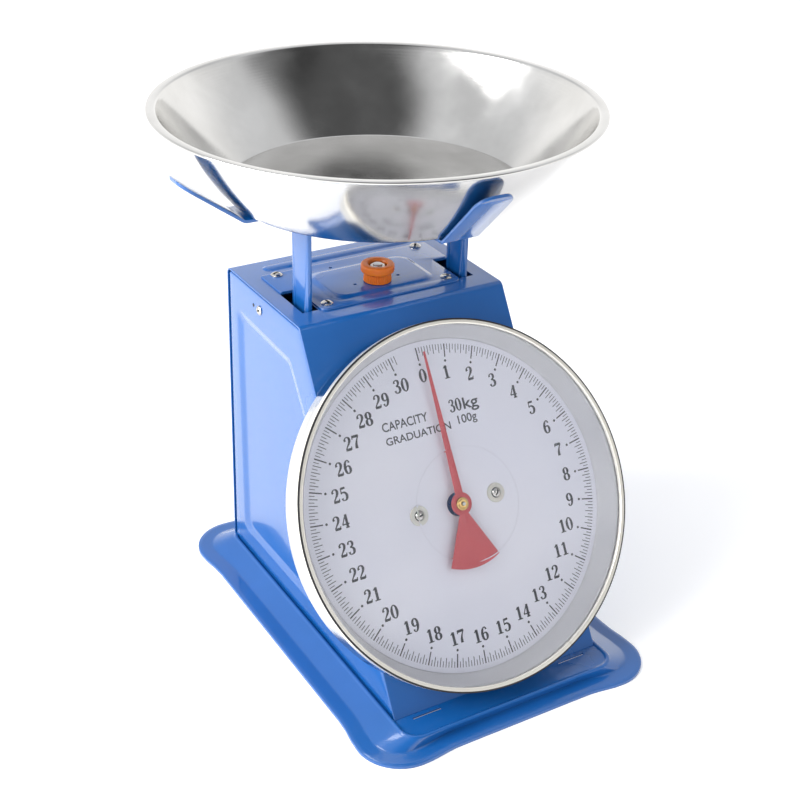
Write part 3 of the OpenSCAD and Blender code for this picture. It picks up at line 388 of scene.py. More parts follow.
def oblong(half_x, half_y, r, z, mid_y, waist=0.0, ear=0.0):
    """Ring of a rounded rectangle. waist pulls its straight sides in; ear is how long the
    corners stay full."""
    arc, side = 12, 24
    corners = [(1, -1), (1, 1), (-1, 1), (-1, -1)]
    ring = []
    for k, (sx, sy) in enumerate(corners):
        centre = Vector((sx * (half_x - r), sy * (half_y - r)))
        first = -pi / 2 + k * pi / 2
        for i in range(arc + 1):
            a = first + pi / 2 * i / arc
            ring.append(centre + r * Vector((cos(a), sin(a))))
        nx, ny = corners[(k + 1) % 4]
        begin = ring[-1]
        a = first + pi / 2
        end = Vector((nx * (half_x - r), ny * (half_y - r))) + r * Vector((cos(a), sin(a)))
        inward = -Vector((cos(a), sin(a)))
        length = (end - begin).length
        for i in range(1, side):
            t = i / side
            edge = min(t, 1 - t) * length
            pull = waist * ease(min(1, max(0, (edge - ear) / (26 * MM))))
            ring.append(begin.lerp(end, t) + inward * pull)
    return [Vector((p.x, p.y + mid_y, z)) for p in ring]


def make_base():
    half_x, half_y = BASE_HIGH.x, (BASE_HIGH.y - BASE_LOW.y) / 2
    mid_y = (BASE_HIGH.y + BASE_LOW.y) / 2
    deck_x = FOOT_HALF + 3 * MM
    deck_front, deck_back = FOOT_Y - 22 * MM, COVER_BACK + 4 * MM
    deck_y, deck_mid = (deck_back - deck_front) / 2, (deck_back + deck_front) / 2
    ridge = BASE_HIGH.z
    corner, flange, edge, waist, ear = 30 * MM, 11 * MM, 2.1 * MM, 2.8 * MM, 2 * MM

    def outer(inset, z):
        return oblong(half_x - inset, half_y - inset, corner - inset, z, mid_y, waist, ear)

    def deck(inset, z):
        return oblong(deck_x - inset, deck_y - inset, 12 * MM - inset / 2, z, deck_mid)

    rings = [outer(0, 0), outer(0, edge - 0.9 * MM), outer(0.25 * MM, edge - 0.3 * MM), outer(0.8 * MM, edge)]
    rings += [outer(flange * t, edge + 0.15 * MM * t) for t in (0.3, 0.6, 0.85, 0.95)]
    rings += [outer(flange, edge + 0.25 * MM)]
    low, high = outer(flange * 1.08, edge + 0.55 * MM), deck(0, ridge - 0.9 * MM)
    rings += [[a.lerp(b, t) for a, b in zip(low, high)] for t in (0, 0.3, 0.6, 0.85, 0.95, 1)]
    rings += [deck(inset * MM, ridge - drop * MM)
              for inset, drop in ((0.4, 0.4), (0.9, 0.12), (1.5, 0), (2.1, 0.1), (2.6, 0.45),
                                  (2.9, 0.85), (3.3, 1.15), (3.9, 1.2), (5.5, 1.2))]
    base = show("pressed_base", *loft(rings, caps=(False, True)), "housing", "blue_enamel",
                LOOK["blue"], ["base_plate"], crease=50)
    sheet = base.modifiers.new("sheet", "SOLIDIFY")
    sheet.thickness = SHEET
    sheet.offset = -1
    settle(base)
    slots = [box_shape((s * 56.5 * MM - 10.5 * MM, FOOT_Y - 4.2 * MM, DECK_Z - 3 * MM),
                       (s * 56.5 * MM + 10.5 * MM, FOOT_Y - 2.6 * MM, DECK_Z + 3 * MM))
             for s in (-1, 1)]
    carve(base, slots)


# ------------------------------------------------------------ cover

def half_width(z):
    return FOOT_HALF - (FOOT_HALF - TOP_HALF) * (z - DECK_Z) / (TOP_Z - DECK_Z)


def front_at(z, inset=0.0):
    return FOOT_Y + (z - DECK_Z) * tan(TILT) + inset / cos(TILT)


def make_cover():
    bend, past = 5 * MM, 4 * MM  # bend radius, and how far the cutters reach past the sheet
    slot_x, slot_half = 59.25 * MM, 5.75 * MM

    def opening(low_x, high_x, low_y, high_y):
        return box_shape((low_x, low_y, TOP_Z - past), (high_x, high_y, TOP_Z + past))

    foot = Vector((front_at(DECK_Z), DECK_Z))
    brow = Vector((front_at(TOP_Z), TOP_Z))
    rear = Vector((COVER_BACK, TOP_Z))
    heel = Vector((COVER_BACK, DECK_Z))
    path = softened([foot, brow, rear, heel], bend, 10, looped=False)
    profile = thickened(path, -SHEET)
    rings = [[Vector((s * half_width(p.y), p.x, p.y)) for p in profile] for s in (-1, 1)]
    cover = show("bent_cover", *loft(rings, caps=(True, True)), "housing", "blue_enamel",
                 LOOK["blue"], ["main_cover"])
    post_low, post_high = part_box("right_post")
    slot_front, slot_back = post_low.y - 1 * MM, post_high.y + 10 * MM
    slots = [opening(s * slot_x - slot_half, s * slot_x + slot_half, slot_front, slot_back) for s in (-1, 1)]
    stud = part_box("zero_stud")
    stud_y = (stud[0].y + stud[1].y) / 2
    window = opening(-38 * MM, 38 * MM, stud_y - 18 * MM, stud_y + 18 * MM)
    spindle = lathe([(0, -past), (8 * MM, -past), (8 * MM, past), (0, past)], DIAL_PLACE, 48)
    carve(cover, slots + [window, spindle])
    bevel(cover, 0.4 * MM, 3, 40)
    rib = softened([(-58, 78), (58, 78), (58, 88), (-58, 88)], 4.5, 8)
    rings = []
    for i in range(9):
        t = i / 8
        grow = 1 - 0.42 * ease(t)
        rings.append([Vector((p.x * (1 - 0.045 * t), 83 + (p.y - 83) * grow, 0)) * MM
                      + UP * (TOP_Z - 0.1 * MM + 1.1 * MM * ease(t)) for p in rib])
    show("cover_rib", *loft(rings, caps=(True, True)), "housing", "blue_enamel", LOOK["blue"])


def panel_loop(corners, r, inset=0.0):
    """Loop in the side panel's plane through five corners of (y, z), moved in by inset."""
    points = [Vector(c) for c in corners]
    n = len(points)
    moved = []
    for i, p in enumerate(points):
        a, c = (p - points[i - 1]).normalized(), (points[(i + 1) % n] - p).normalized()
        na, nc = Vector((a.y, -a.x)), Vector((c.y, -c.x))
        both = na + nc
        moved.append(p + both * inset / (1 + na.dot(nc)))
    return softened(moved, r, 8)


def make_side_panel(s, name, node):
    """Side panel of side s, with its sunk field, and a dark disc of painted shade where the small hole behind
    its screw is.
    """
    gap, sunk, inside = 2.6 * MM, -1.8 * MM, 31 * MM
    low, mid, top = DECK_Z + 0.4 * MM, 170 * MM, TOP_Z - gap
    back = COVER_BACK - gap
    edge = [(back, top), (back, low)] + [(front_at(z, gap), z) for z in (low, mid, top)]
    field_low, field_mid = 31 * MM, 157 * MM
    field = [(79 * MM, 194.5 * MM), (75 * MM, field_low), (front_at(field_low, inside), field_low),
             (front_at(field_mid, inside), field_mid), (10 * MM, 191.5 * MM)]

    def ring(loop, out):
        return [Vector((s * (half_width(p.y) - PANEL_STEP + out), p.x, p.y)) for p in loop]

    rings = [ring(panel_loop(edge, 2 * MM), -2.4 * MM)]
    border = ((0, -1), (0.15, -0.6), (0.5, -0.35), (1, -0.25), (3, -0.12), (6, -0.03), (8, 0), (9, 0))
    for inset, out in border:
        rings.append(ring(panel_loop(edge, 2 * MM, inset * MM), out * MM))
    rings.append(ring(panel_loop(field, 7 * MM, -9 * MM), 0))
    for i in range(11):
        t = i / 10
        rings.append(ring(panel_loop(field, 7 * MM, -8 * MM * (1 - t)), sunk * ease(t)))
    rings.append(ring(panel_loop(field, 6 * MM, 2 * MM), sunk))
    show(name, *loft(rings, caps=(True, True)), "housing", "blue_enamel", LOOK["blue"], [node], crease=40)
    hole_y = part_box("side_panel_screws")[1].y + 6.2 * MM
    hole_z = 214.5 * MM
    face = s * (half_width(hole_z) - PANEL_STEP - 0.12 * MM)
    # painted shade: the hole is not cut; a thin dark disc stands for the shade inside it
    plug = [(0, 0), (1.3 * MM, 0), (1.3 * MM, 0.2 * MM), (0, 0.2 * MM)]
    show(name + "_hole", *lathe(plug, facing(Vector((face, hole_y, hole_z)), RIGHT * s), 32), "housing",
         "blue_enamel", LOOK["dark"])


# ------------------------------------------------------------ top plate

def make_top_plate():
    low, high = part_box("top_cover_plate")
    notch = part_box("right_post")[1].y + 10 * MM
    neck, wide = 52.75 * MM, high.x
    face = low.z + SHEET

    def outline(inset):
        front, back, step = low.y + inset, high.y - inset, notch + inset
        n, w = neck - inset, wide - inset
        corners = [(-n, front), (n, front), (n, step), (w, step),
                   (w, back), (-w, back), (-w, step), (-n, step)]
        return softened(corners, [r * MM for r in (5, 5, 1, 1.5, 1.5, 1.5, 1.5, 1)], 6)

    def flat_ring(loop, z):
        return [Vector((p.x, p.y, z)) for p in loop]

    def emboss(inset):
        mid_y, half_x, half_y = low.y + 31 * MM, 40 * MM, 24 * MM
        corners = [(-half_x + inset, mid_y - half_y + inset), (half_x - inset, mid_y - half_y + inset),
                   (half_x - inset, mid_y + half_y - inset), (-half_x + inset, mid_y + half_y - inset)]
        return softened(corners, 11 * MM - inset / 2, 8)

    rim = [flat_ring(outline(0), low.z + 0.05 * MM), flat_ring(outline(0), face - 0.4 * MM),
           flat_ring(outline(0.12 * MM), face - 0.12 * MM), flat_ring(outline(0.4 * MM), face)]
    parts = [loft(rim, caps=(True, False))]
    slope = [flat_ring(emboss(5 * MM * i / 8), face + (high.z - face) * ease(i / 8)) for i in range(9)]
    parts.append(loft(slope))
    knob_y = (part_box("zero_knob")[0].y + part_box("zero_knob")[1].y) / 2
    hole_x, hole_r = 16.5 * MM, 1.2 * MM
    raised, flat = [[[Vector((sx * hole_x, knob_y + dy * MM)) + hole_r * Vector((cos(a), sin(a)))
                      for a in angles(24)] for sx in (-1, 1)] for dy in (1, 35.5)]
    parts.append(flat_with_holes([outline(0.4 * MM), emboss(0)] + flat, Matrix.Translation(UP * face)))
    parts.append(flat_with_holes([emboss(5 * MM)] + raised, Matrix.Translation(UP * high.z)))
    for holes, z in ((raised, high.z), (flat, face)):
        for hole in holes:
            parts.append(loft([flat_ring(hole, z), flat_ring(hole, z - 1.1 * MM)], caps=(False, True)))
    show("top_plate", *joined(parts), "housing", "blue_enamel", LOOK["blue"], ["top_cover_plate"])


# ------------------------------------------------------------ screws

def slotted_screw(place, head_r, head_h, shank_r, length):
    """Domed screw with one slot along X: head above the place's XY plane, ribbed shank below it."""
    rows, cols = 22, 96
    slot_half, slot_end, slot_deep = 0.17 * head_r, 0.64 * head_r, 0.95 * head_h

    def height(r, a):
        dome = head_h * (1 - 0.72 * (r / head_r) ** 2.6)
        across = min(abs(r * sin(a)), abs(r * sin(a - pi)))
        along = max(abs(r * cos(a)), abs(r * sin(a)))
        if across < slot_half and along < slot_end:
            dome -= slot_deep * (1 - (along / slot_end) ** 2) ** 0.5
        return dome

    def ring(r, z):
        return [place @ Vector((r * cos(t), r * sin(t), z)) for t in angles(cols)]

    rings = [ring(shank_r, -length)]
    turns = ceil(length / (0.8 * MM))
    for k in range(turns):
        z = -length + length * (k + 0.5) / turns
        rings += [ring(0.86 * shank_r, z - 0.2 * MM), ring(shank_r, z + 0.2 * MM)]
    rings += [ring(shank_r, 0), ring(0.94 * head_r, 0), ring(head_r, 0.1 * head_h)]
    for k in range(rows, 0, -1):
        r = head_r * k / rows
        rings.append([place @ Vector((r * cos(t), r * sin(t), height(r, t))) for t in angles(cols)])
    return loft(rings, caps=(True, True))


def cross_shadow(place, head_r, head_h):
    """Dark cross in a screw's head: one arm shows in the slot, the dome hides the other."""
    arms = []
    for turn in (0, pi / 2):
        verts, faces = box_shape((-0.6 * head_r, -0.15 * head_r, 0.1 * head_h),
                                 (0.6 * head_r, 0.15 * head_r, 0.42 * head_h))
        arms.append(([place @ Matrix.Rotation(turn, 4, "Z") @ v for v in verts], faces))
    return arms


def angles(count):
    return [2 * pi * i / count for i in range(count)]


def facing(spot, direction, turn=0.0):
    """Place at a spot whose Z axis points along a direction, turned about it."""
    return Matrix.Translation(spot) @ direction.to_track_quat("Z", "Y").to_matrix().to_4x4() \
        @ Matrix.Rotation(turn, 4, "Z")


def make_screws():
    shadows = []

    def screw(place, head_r, head_h, shank_r, length):
        shadows.extend(cross_shadow(place, head_r, head_h))
        return slotted_screw(place, head_r, head_h, shank_r, length)

    parts = []
    for s in (-1, 1):
        spot = DIAL + RIGHT * s * SCREW_X + OUT * (PLATE_TOP + 1 * MM)
        parts.append(screw(facing(spot, OUT, 0.5 + 0.4 * s), DIAL_SCREW_R, 1.8 * MM, 2 * MM, 16 * MM))
    show("dial_fixing_screws", *joined(parts), "housing", "nickel_plate", LOOK["nickel"], ["dial_screws"])
    parts = []
    top = TOP_Z + SHEET
    for k, spot in enumerate(clusters("top_plate_screws", 12 * MM)):
        place = facing(Vector((spot.x, spot.y, top)), UP, 0.7 * k + 0.3)
        parts.append(screw(place, 4 * MM, 2 * MM, 2 * MM, 6 * MM))
    show("top_screws", *joined(parts), "housing", "nickel_plate", LOOK["nickel"], ["top_plate_screws"])
    parts = []
    for spot in clusters("side_panel_screws", 20 * MM):
        s = 1 if spot.x > 0 else -1
        face = half_width(spot.z) - PANEL_STEP + 0.1 * MM
        place = facing(Vector((s * face, spot.y, spot.z)), RIGHT * s, 0.4)
        parts.append(screw(place, 3.2 * MM, 1.8 * MM, 1.5 * MM, 5 * MM))
    show("side_screws", *joined(parts), "housing", "nickel_plate", LOOK["nickel"], ["side_panel_screws"])
    # painted shade: dark crosses set in the screw heads stand for the shade in their recesses
    show("screw_recess_shade", *joined(shadows), "housing", "nickel_plate", LOOK["dark"])


# ------------------------------------------------------------ dial

def make_case():
    t = 0.8 * MM
    path = softened([(8 * MM, 0), (CASE_R, 0), (CASE_R, CASE_TOP)], 1.6 * MM, 6, looped=False)
    show("dial_drum", *lathe(thickened(path, t), DIAL_PLACE), "housing", "polished_steel", LOOK["wall"],
         ["dial_case"])
    outer, top = LENS_R - 0.2 * MM, LENS_LOW - 0.1 * MM
    ring = [Vector((PLATE_R + 0.2 * MM, 0.9 * MM)), Vector((outer, 0.9 * MM)), Vector((outer, top)),
            Vector((outer - 1.6 * MM, top)), Vector((outer - 2.6 * MM, top - 1.2 * MM)),
            Vector((PLATE_R + 1.2 * MM, PLATE_TOP + 1 * MM)), Vector((PLATE_R + 0.2 * MM, PLATE_TOP))]
    show("inner_ring", *lathe(softened(ring, 0.5 * MM, 3), DIAL_PLACE), "housing", "grey_plastic",
         LOOK["grey"], ["lens_spacer_ring"])
    w, d = 3.6 * MM, RING_TOP
    face = [Vector((RING_R - w, d - 2.5 * MM)), Vector((RING_R - w, d)), Vector((RING_R, d)),
            Vector((RING_R, d - 6 * MM)), Vector((RING_R - 0.8 * MM, d - 6 * MM)),
            Vector((RING_R - 0.8 * MM, d - 2.5 * MM))]
    profile = softened(face, [0.2 * MM, 0.8 * MM, 1.5 * MM, 0.3 * MM, 0.1 * MM, 0.1 * MM], 8)
    near, far = RING_R - 1.35 * MM, RING_R - 0.05 * MM
    line = [(near, d - 0.9 * MM), (far, d - 0.9 * MM), (far, d - 0.32 * MM), (far - 0.7 * MM, d - 0.02 * MM),
            (near, d - 0.02 * MM)]
    show("ring_shadow_line", *lathe(softened(line, 0.12 * MM, 2), DIAL_PLACE), "housing", "polished_steel",
         LOOK["dark"])
    seam = -66.3 * pi / 180
    gap = 0.3 / 119
    show("rolled_ring", *lathe(profile, DIAL_PLACE, ROUND, 2 * pi - gap, seam + gap / 2), "housing",
         "polished_steel", LOOK["chrome"], ["trim_ring"])
    plate = softened([(7.8 * MM, PLATE_TOP - 0.8 * MM), (PLATE_R, PLATE_TOP - 0.8 * MM), (PLATE_R, PLATE_TOP),
                      (7.8 * MM, PLATE_TOP)], 0.15 * MM, 3)
    show("dial_face", *lathe(plate, DIAL_PLACE), "housing", "dial_white", LOOK["white"], ["dial_plate"])
    groove_r, top, low = 37.4 * MM, LENS_TOP, LENS_LOW
    sheet = [(0, low), (LENS_R, low), (LENS_R, top), (groove_r + 0.55 * MM, top),
             (groove_r, top - 0.42 * MM), (groove_r - 0.55 * MM, top), (0, top)]
    show("clear_lens", *lathe([Vector(p) for p in sheet], DIAL_PLACE), "housing", "clear_plastic",
         LOOK["lens"], ["dial_lens"], crease=20)


def make_washers():
    parts = []
    low, high = reach("dial_washers", OUT, DIAL)
    well = DIAL_SCREW_R + 0.5 * MM
    ring = softened([(well, low), (WASHER_R, low), (WASHER_R, high), (well, high)],
                    [0.05 * MM, 0.1 * MM, 0.45 * MM, 0.2 * MM], 5)
    # painted shade: a dark ring between the shank and the washer's bore stands for the shade down the bore
    pit = [(2.1 * MM, low), (well, low), (well, low + 0.3 * MM), (2.1 * MM, low + 0.3 * MM)]
    pits = []
    for s in (-1, 1):
        place = Matrix.Translation(RIGHT * s * SCREW_X) @ DIAL_PLACE
        parts.append(lathe(ring, place, 96))
        pits.append(lathe(pit, place, 48))
    show("washer_pit_shade", *joined(pits), "housing", "nickel_plate", LOOK["dark"])
    show("screw_washers", *joined(parts), "housing", "ivory_plastic", LOOK["ivory"], ["dial_washers"])


STROKES = {  # digits as strokes of (x, y, width), in a box 0.6 wide and 1 high
    "1": [[(.11, .80, .03), (.22, .87, .06), (.31, .97, .08)], [(.32, .98, .16), (.32, .02, .16)],
          [(.10, .025, .05), (.54, .025, .05)]],
    "2": [[(.13, .70, .14), (.10, .82, .10), (.18, .94, .06), (.30, .975, .05), (.43, .90, .12),
           (.47, .74, .15), (.40, .54, .12), (.24, .32, .07), (.09, .10, .06)],
          [(.07, .07, .14), (.50, .07, .14)], [(.505, .02, .05), (.54, .25, .04)]],
    "3": [[(.12, .76, .13), (.13, .88, .08), (.20, .95, .05), (.30, .975, .05), (.42, .90, .12),
           (.45, .76, .14), (.38, .61, .09), (.22, .54, .04)],
          [(.22, .54, .04), (.39, .49, .09), (.49, .36, .15), (.49, .20, .15), (.41, .07, .10),
           (.27, .025, .05), (.14, .07, .07), (.10, .22, .14)]],
    "4": [[(.40, .97, .05), (.05, .28, .05)], [(.03, .275, .06), (.58, .275, .06)],
          [(.41, .98, .15), (.41, .02, .15)], [(.26, .025, .05), (.56, .025, .05)]],
    "5": [[(.12, .91, .13), (.46, .93, .11)], [(.12, .97, .05), (.10, .52, .05)],
          [(.10, .53, .04), (.20, .61, .06), (.34, .60, .09), (.47, .48, .13), (.50, .30, .16),
           (.43, .10, .12), (.28, .025, .05), (.14, .07, .07), (.11, .21, .13)]],
    "6": [[(.45, .79, .12), (.44, .91, .07), (.33, .975, .05), (.19, .86, .11), (.11, .62, .15),
           (.10, .36, .15), (.16, .12, .12), (.30, .025, .05), (.44, .12, .12), (.49, .31, .15),
           (.44, .50, .11), (.32, .58, .05), (.19, .50, .05), (.13, .38, .04)]],
    "7": [[(.05, .905, .15), (.55, .905, .15)], [(.055, .98, .04), (.04, .72, .04)],
          [(.55, .92, .05), (.38, .60, .08), (.29, .32, .14), (.27, .02, .18)]],
}
RINGS = {"0": [(.30, .50, .21, .475)], "8": [(.30, .745, .17, .235), (.30, .265, .20, .245)]}


def ribbon(points, looped=False):
    """Flat strip along (x, y, width) points, smoothly joined."""
    n = len(points)
    fine = []
    spans = n if looped else n - 1
    for i in range(spans):
        p = [Vector(points[(i + k) % n] if looped else points[max(0, min(n - 1, i + k))])
             for k in (-1, 0, 1, 2)]
        steps = 6 if n > 2 else 1
        for j in range(steps):
            t = j / steps
            fine.append(0.5 * (2 * p[1] + (p[2] - p[0]) * t + (2 * p[0] - 5 * p[1] + 4 * p[2] - p[3]) * t * t
                               + (3 * p[1] - p[0] - 3 * p[2] + p[3]) * t ** 3))
    if not looped:
        fine.append(Vector(points[-1]))
    left, right = [], []
    m = len(fine)
    for i, p in enumerate(fine):
        a = fine[(i - 1) % m] if looped else fine[max(0, i - 1)]
        b = fine[(i + 1) % m] if looped else fine[min(m - 1, i + 1)]
        n2 = Vector((a.y - b.y, b.x - a.x)).normalized() * (1.12 * p.z + 0.03) / 2
        left.append(Vector((p.x, p.y)) + n2)
        right.append(Vector((p.x, p.y)) - n2)
    return left, right


def digit(text):
    """Strips of one numeral in a box 0.6 wide and 1 high."""
    if text in RINGS:
        strips = []
        for cx, cy, rx, ry in RINGS[text]:
            loop = [(cx + rx * cos(a), cy + ry * sin(a), 0.05 + 0.11 * cos(a) ** 2) for a in angles(20)]
            strips.append((*ribbon(loop, True), True))
        return strips
    if text == "9":
        return [([Vector((.6, 1)) - p for p in left], [Vector((.6, 1)) - p for p in right], looped)
                for left, right, looped in digit("6")]
    return [(*ribbon(stroke), False) for stroke in STROKES[text]]


def strip_mesh(left, right, looped, place):
    n = len(left)
    verts = [place @ Vector((p.x, p.y, 0)) for p in left + right]
    faces = [[i, (i + 1) % n, n + (i + 1) % n, n + i] for i in range(n if looped else n - 1)]
    return verts, faces


def numeral(text, centre, height, place, narrow=1.02):
    """Upright number centred on a point of the dial."""
    step = 0.66 * height * narrow
    parts = []
    for k, c in enumerate(text):
        x = centre[0] + (k - len(text) / 2) * step + 0.03 * height
        spot = Matrix.Translation((x, centre[1] - height / 2, 0))
        spot = spot @ Matrix.Diagonal((height * narrow, height, 1, 1))
        parts += [strip_mesh(left, right, looped, place @ spot) for left, right, looped in digit(c)]
    return parts


def words(text, left, baseline, width, height, place):
    """Plain capitals fitted to a width and height on the dial."""
    curve = bpy.data.curves.new("words", "FONT")
    curve.body = text
    curve.offset = 0.014
    holder = bpy.data.objects.new("words", curve)
    bpy.context.scene.collection.objects.link(holder)
    mesh = bpy.data.meshes.new_from_object(holder.evaluated_get(bpy.context.evaluated_depsgraph_get()))
    xs = [v.co.x for v in mesh.vertices]
    cap = 0.69
    scale = Vector((width / (max(xs) - min(xs)), height / cap))
    verts = [place @ Vector((left + (v.co.x - min(xs)) * scale.x, baseline + v.co.y * scale.y, 0))
             for v in mesh.vertices]
    faces = [list(p.vertices) for p in mesh.polygons]
    bpy.data.objects.remove(holder)
    return verts, faces


def make_print():
    kilos, turned = 31, radians(-1.5)
    per_kilo = 2 * pi / kilos
    outer = 105 * MM
    lift = Matrix.Translation(OUT * (PLATE_TOP + 0.02 * MM)) @ DIAL_PLACE
    parts = []
    for step in range(30 * 10 + 3):
        a = turned + per_kilo * step / 10
        if step % 10 == 0:
            length, width = 8.7 * MM, 0.85 * MM
        elif step % 2:
            length, width = 3.8 * MM, 0.46 * MM
        else:
            length, width = 6 * MM, 0.5 * MM
        way = Vector((sin(a), cos(a)))
        side = Vector((cos(a), -sin(a))) * width / 2
        ends = [way * outer, way * (outer - length)]
        verts = [lift @ Vector((*(ends[0] + side), 0)), lift @ Vector((*(ends[0] - side), 0)),
                 lift @ Vector((*(ends[1] - side), 0)), lift @ Vector((*(ends[1] + side), 0))]
        parts.append((verts, [[0, 1, 2, 3]]))
        if step % 10 == 0:
            dot = way * (outer - length - 2.4 * MM)
            parts.append(([lift @ Vector((*(dot + 0.85 * MM * Vector((cos(t), sin(t)))), 0))
                           for t in angles(16)], [list(range(16))]))
            kilo = step // 10
            spread = 2.6 * MM * abs(way.x) if kilo > 9 else 0
            parts += numeral(str(kilo), way * (86.5 * MM - spread), 8.7 * MM, lift)
    parts += numeral("30", (15.6 * MM, 62.6 * MM), 8.3 * MM, lift, 0.9)
    parts.append(words("kg", 21.6 * MM, 58.6 * MM, 11.6 * MM, 7.4 * MM, lift))
    parts.append(words("CAPACITY", -39.9 * MM, 57.5 * MM, 33.8 * MM, 5.6 * MM, lift))
    parts.append(words("GRADUATION", -39.5 * MM, 48.5 * MM, 48.5 * MM, 4.8 * MM, lift))
    parts.append(words("100g", 15.1 * MM, 50 * MM, 14.4 * MM, 5.4 * MM, lift))
    show("dial_print", *joined(parts), "housing", "dial_white", LOOK["ink"])


def make_pointer():
    """Needle and tail with a raised crease down the middle, as one pressed strip."""
    edge_h, mid_h, low = POINTER_TOP - 0.3 * MM, POINTER_TOP, POINTER_LOW
    half, root, tip = radians(26), 3 * MM, 0.7 * MM
    hub = 7.5 * MM
    parts = []
    rows = 24
    rings = []
    for i in range(rows + 1):
        t = i / rows
        y = hub * 0.9 + (POINTER_REACH - hub * 0.9) * t
        w = root + (tip - root) * (y / POINTER_REACH)
        crown = edge_h + (mid_h - edge_h) * (1 - 0.6 * t)
        shoulder = edge_h + 0.6 * (crown - edge_h)
        rings.append([DIAL_PLACE @ Vector((x * w, y, h)) for x, h in
                      ((-1, low), (-1, edge_h), (-0.5, shoulder), (0, crown), (0.5, shoulder),
                       (1, edge_h), (1, low))])
    parts.append(loft(rings, caps=(True, True)))
    rings = []
    for i in range(17):
        r = hub * 0.9 + (TAIL_R - hub * 0.9) * i / 16
        arc = [(-half + 2 * half * k / 16) for k in range(17)]
        top = [(r * sin(a), -r * cos(a), edge_h + (mid_h - edge_h) * (1 - abs(a) / half) ** 2 * (1 - i / 18))
               for a in arc]
        bottom = [(r * sin(a), -r * cos(a), low) for a in arc[::-1]]
        rings.append([DIAL_PLACE @ Vector(p) for p in top + bottom])
    parts.append(loft(rings, caps=(True, True)))
    bore, hub_h = 1.6 * MM, edge_h + 0.1 * MM
    disc = softened([(bore, low), (hub, low), (hub, hub_h), (bore, hub_h)], 0.1 * MM, 3)
    parts.append(lathe(disc, DIAL_PLACE, 96))
    show("needle", *joined(parts), "pointer_arbor", "red_enamel", LOOK["red"], ["pointer"], crease=28)


# ------------------------------------------------------------ pan, knob, springs

def make_pan():
    r_out, h, t = PAN_HIGH.x, PAN_HIGH.z - PAN_LOW.z, 0.8 * MM
    floor_r, lip, bead, bulge = 97.5 * MM, 5.5 * MM, 0.9 * MM, 2.4 * MM
    wall_top = Vector((r_out - lip, h - 0.8 * MM))
    foot = Vector((floor_r, 0))
    chord = wall_top - foot
    out = Vector((chord.y, -chord.x)).normalized()
    wall = [foot + chord * t0 + out * bulge * 4 * t0 * (1 - t0) for t0 in [i / 40 for i in range(1, 40)]]
    floor = [Vector((0, 0)), Vector((floor_r * 0.3, 0)), Vector((floor_r * 0.6, 0)),
             Vector((floor_r - 7 * MM, 0)), Vector((floor_r - 2.4 * MM, 0))]
    corner = bent(floor[-1], foot, wall[1], 3 * MM, 6)
    lip_in = bent(wall[-1], wall_top, Vector((r_out - bead, h - 0.8 * MM)), 1.5 * MM, 6)
    rim = Vector((r_out - bead, h - bead))
    roll = [rim + bead * Vector((cos(a), sin(a))) for a in [pi / 2 - i * pi / 9 for i in range(1, 15)]]
    path = floor + corner + wall[1:-1] + lip_in
    profile = thickened(path, t)
    inner = profile[len(path):]
    outline = path + roll[::-1] + [Vector((rim.x, h))] + inner[1:]
    show("spun_pan", *lathe(outline, Matrix.Translation(PAN_AXIS)), "pan", "stainless_steel", LOOK["pan"],
         ["weighing_pan"], crease=40)


def make_front_arm():
    """The cross arm that runs from front to back, with its two bent-up tongues."""
    low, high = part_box("cross_arm_front")
    mid_y, half_w, t = (low.y + high.y) / 2, high.x, PAN_LOW.z - low.z - 0.02 * MM
    bend, angle, tip_r, edge = 100 * MM, radians(45), 9 * MM, 0.35 * MM
    length = (high.y - mid_y - bend) / cos(angle)
    tip = Vector((bend + length * cos(angle) - t * sin(angle), length * sin(angle)))
    corner = bent(Vector((0, 0)), Vector((bend, 0)), tip, 4 * MM, 8)
    way = (tip - corner[-1]).normalized()
    stations = [(p, half_w) for p in [Vector((0, 0))] + corner]
    for k in range(13):
        b = pi / 2 * k / 12
        stations.append((tip - way * tip_r * (1 - sin(b)), half_w - tip_r * (1 - cos(b))))
    whole = [(Vector((-p.x, p.y)), w) for p, w in stations[:0:-1]] + stations
    rings = []
    for i, (p, w) in enumerate(whole):
        ahead = whole[min(i + 1, len(whole) - 1)][0] - whole[max(i - 1, 0)][0]
        n = Vector((-ahead.y, ahead.x)).normalized()
        section = [(-w, edge), (-w, t - edge), (edge - w, t), (w - edge, t), (w, t - edge), (w, edge),
                   (w - edge, 0), (edge - w, 0)]
        rings.append([Vector((x, mid_y + (p + n * up).x, low.z + (p + n * up).y)) for x, up in section])
    show("front_arm", *loft(rings, caps=(True, True)), "platform", "blue_enamel", LOOK["blue"],
         ["cross_arm_front"], crease=50)


def make_knob():
    low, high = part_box("zero_knob")
    place = Matrix.Translation(((low.x + high.x) / 2, (low.y + high.y) / 2, low.z))
    r, h = high.x, high.z - low.z
    collar = r - 1.9 * MM
    profile = softened(
        [(3.4 * MM, 0), (collar, 0), (collar - 0.5 * MM, h - 6.4 * MM), (r, h - 5.4 * MM), (r, h),
         (7 * MM, h), (6.2 * MM, h - 1.5 * MM), (6 * MM, h - 6.5 * MM), (3.4 * MM, h - 6.5 * MM)],
        [0.1 * MM, 0.6 * MM, 0.8 * MM, 1.3 * MM, 1.7 * MM, 1.0 * MM, 0.4 * MM, 0.3 * MM, 0.1 * MM], 6)

    def ribs(radius, z, a):
        near = 1 if 0.3 * MM < z < h - 6.2 * MM and radius > 7 * MM else 0
        return radius + near * 0.14 * MM * cos(40 * a)

    show("knob", *lathe(profile, place, 320, flute=ribs), "zero_adjuster", "orange_plastic", LOOK["orange"],
         ["zero_knob"])


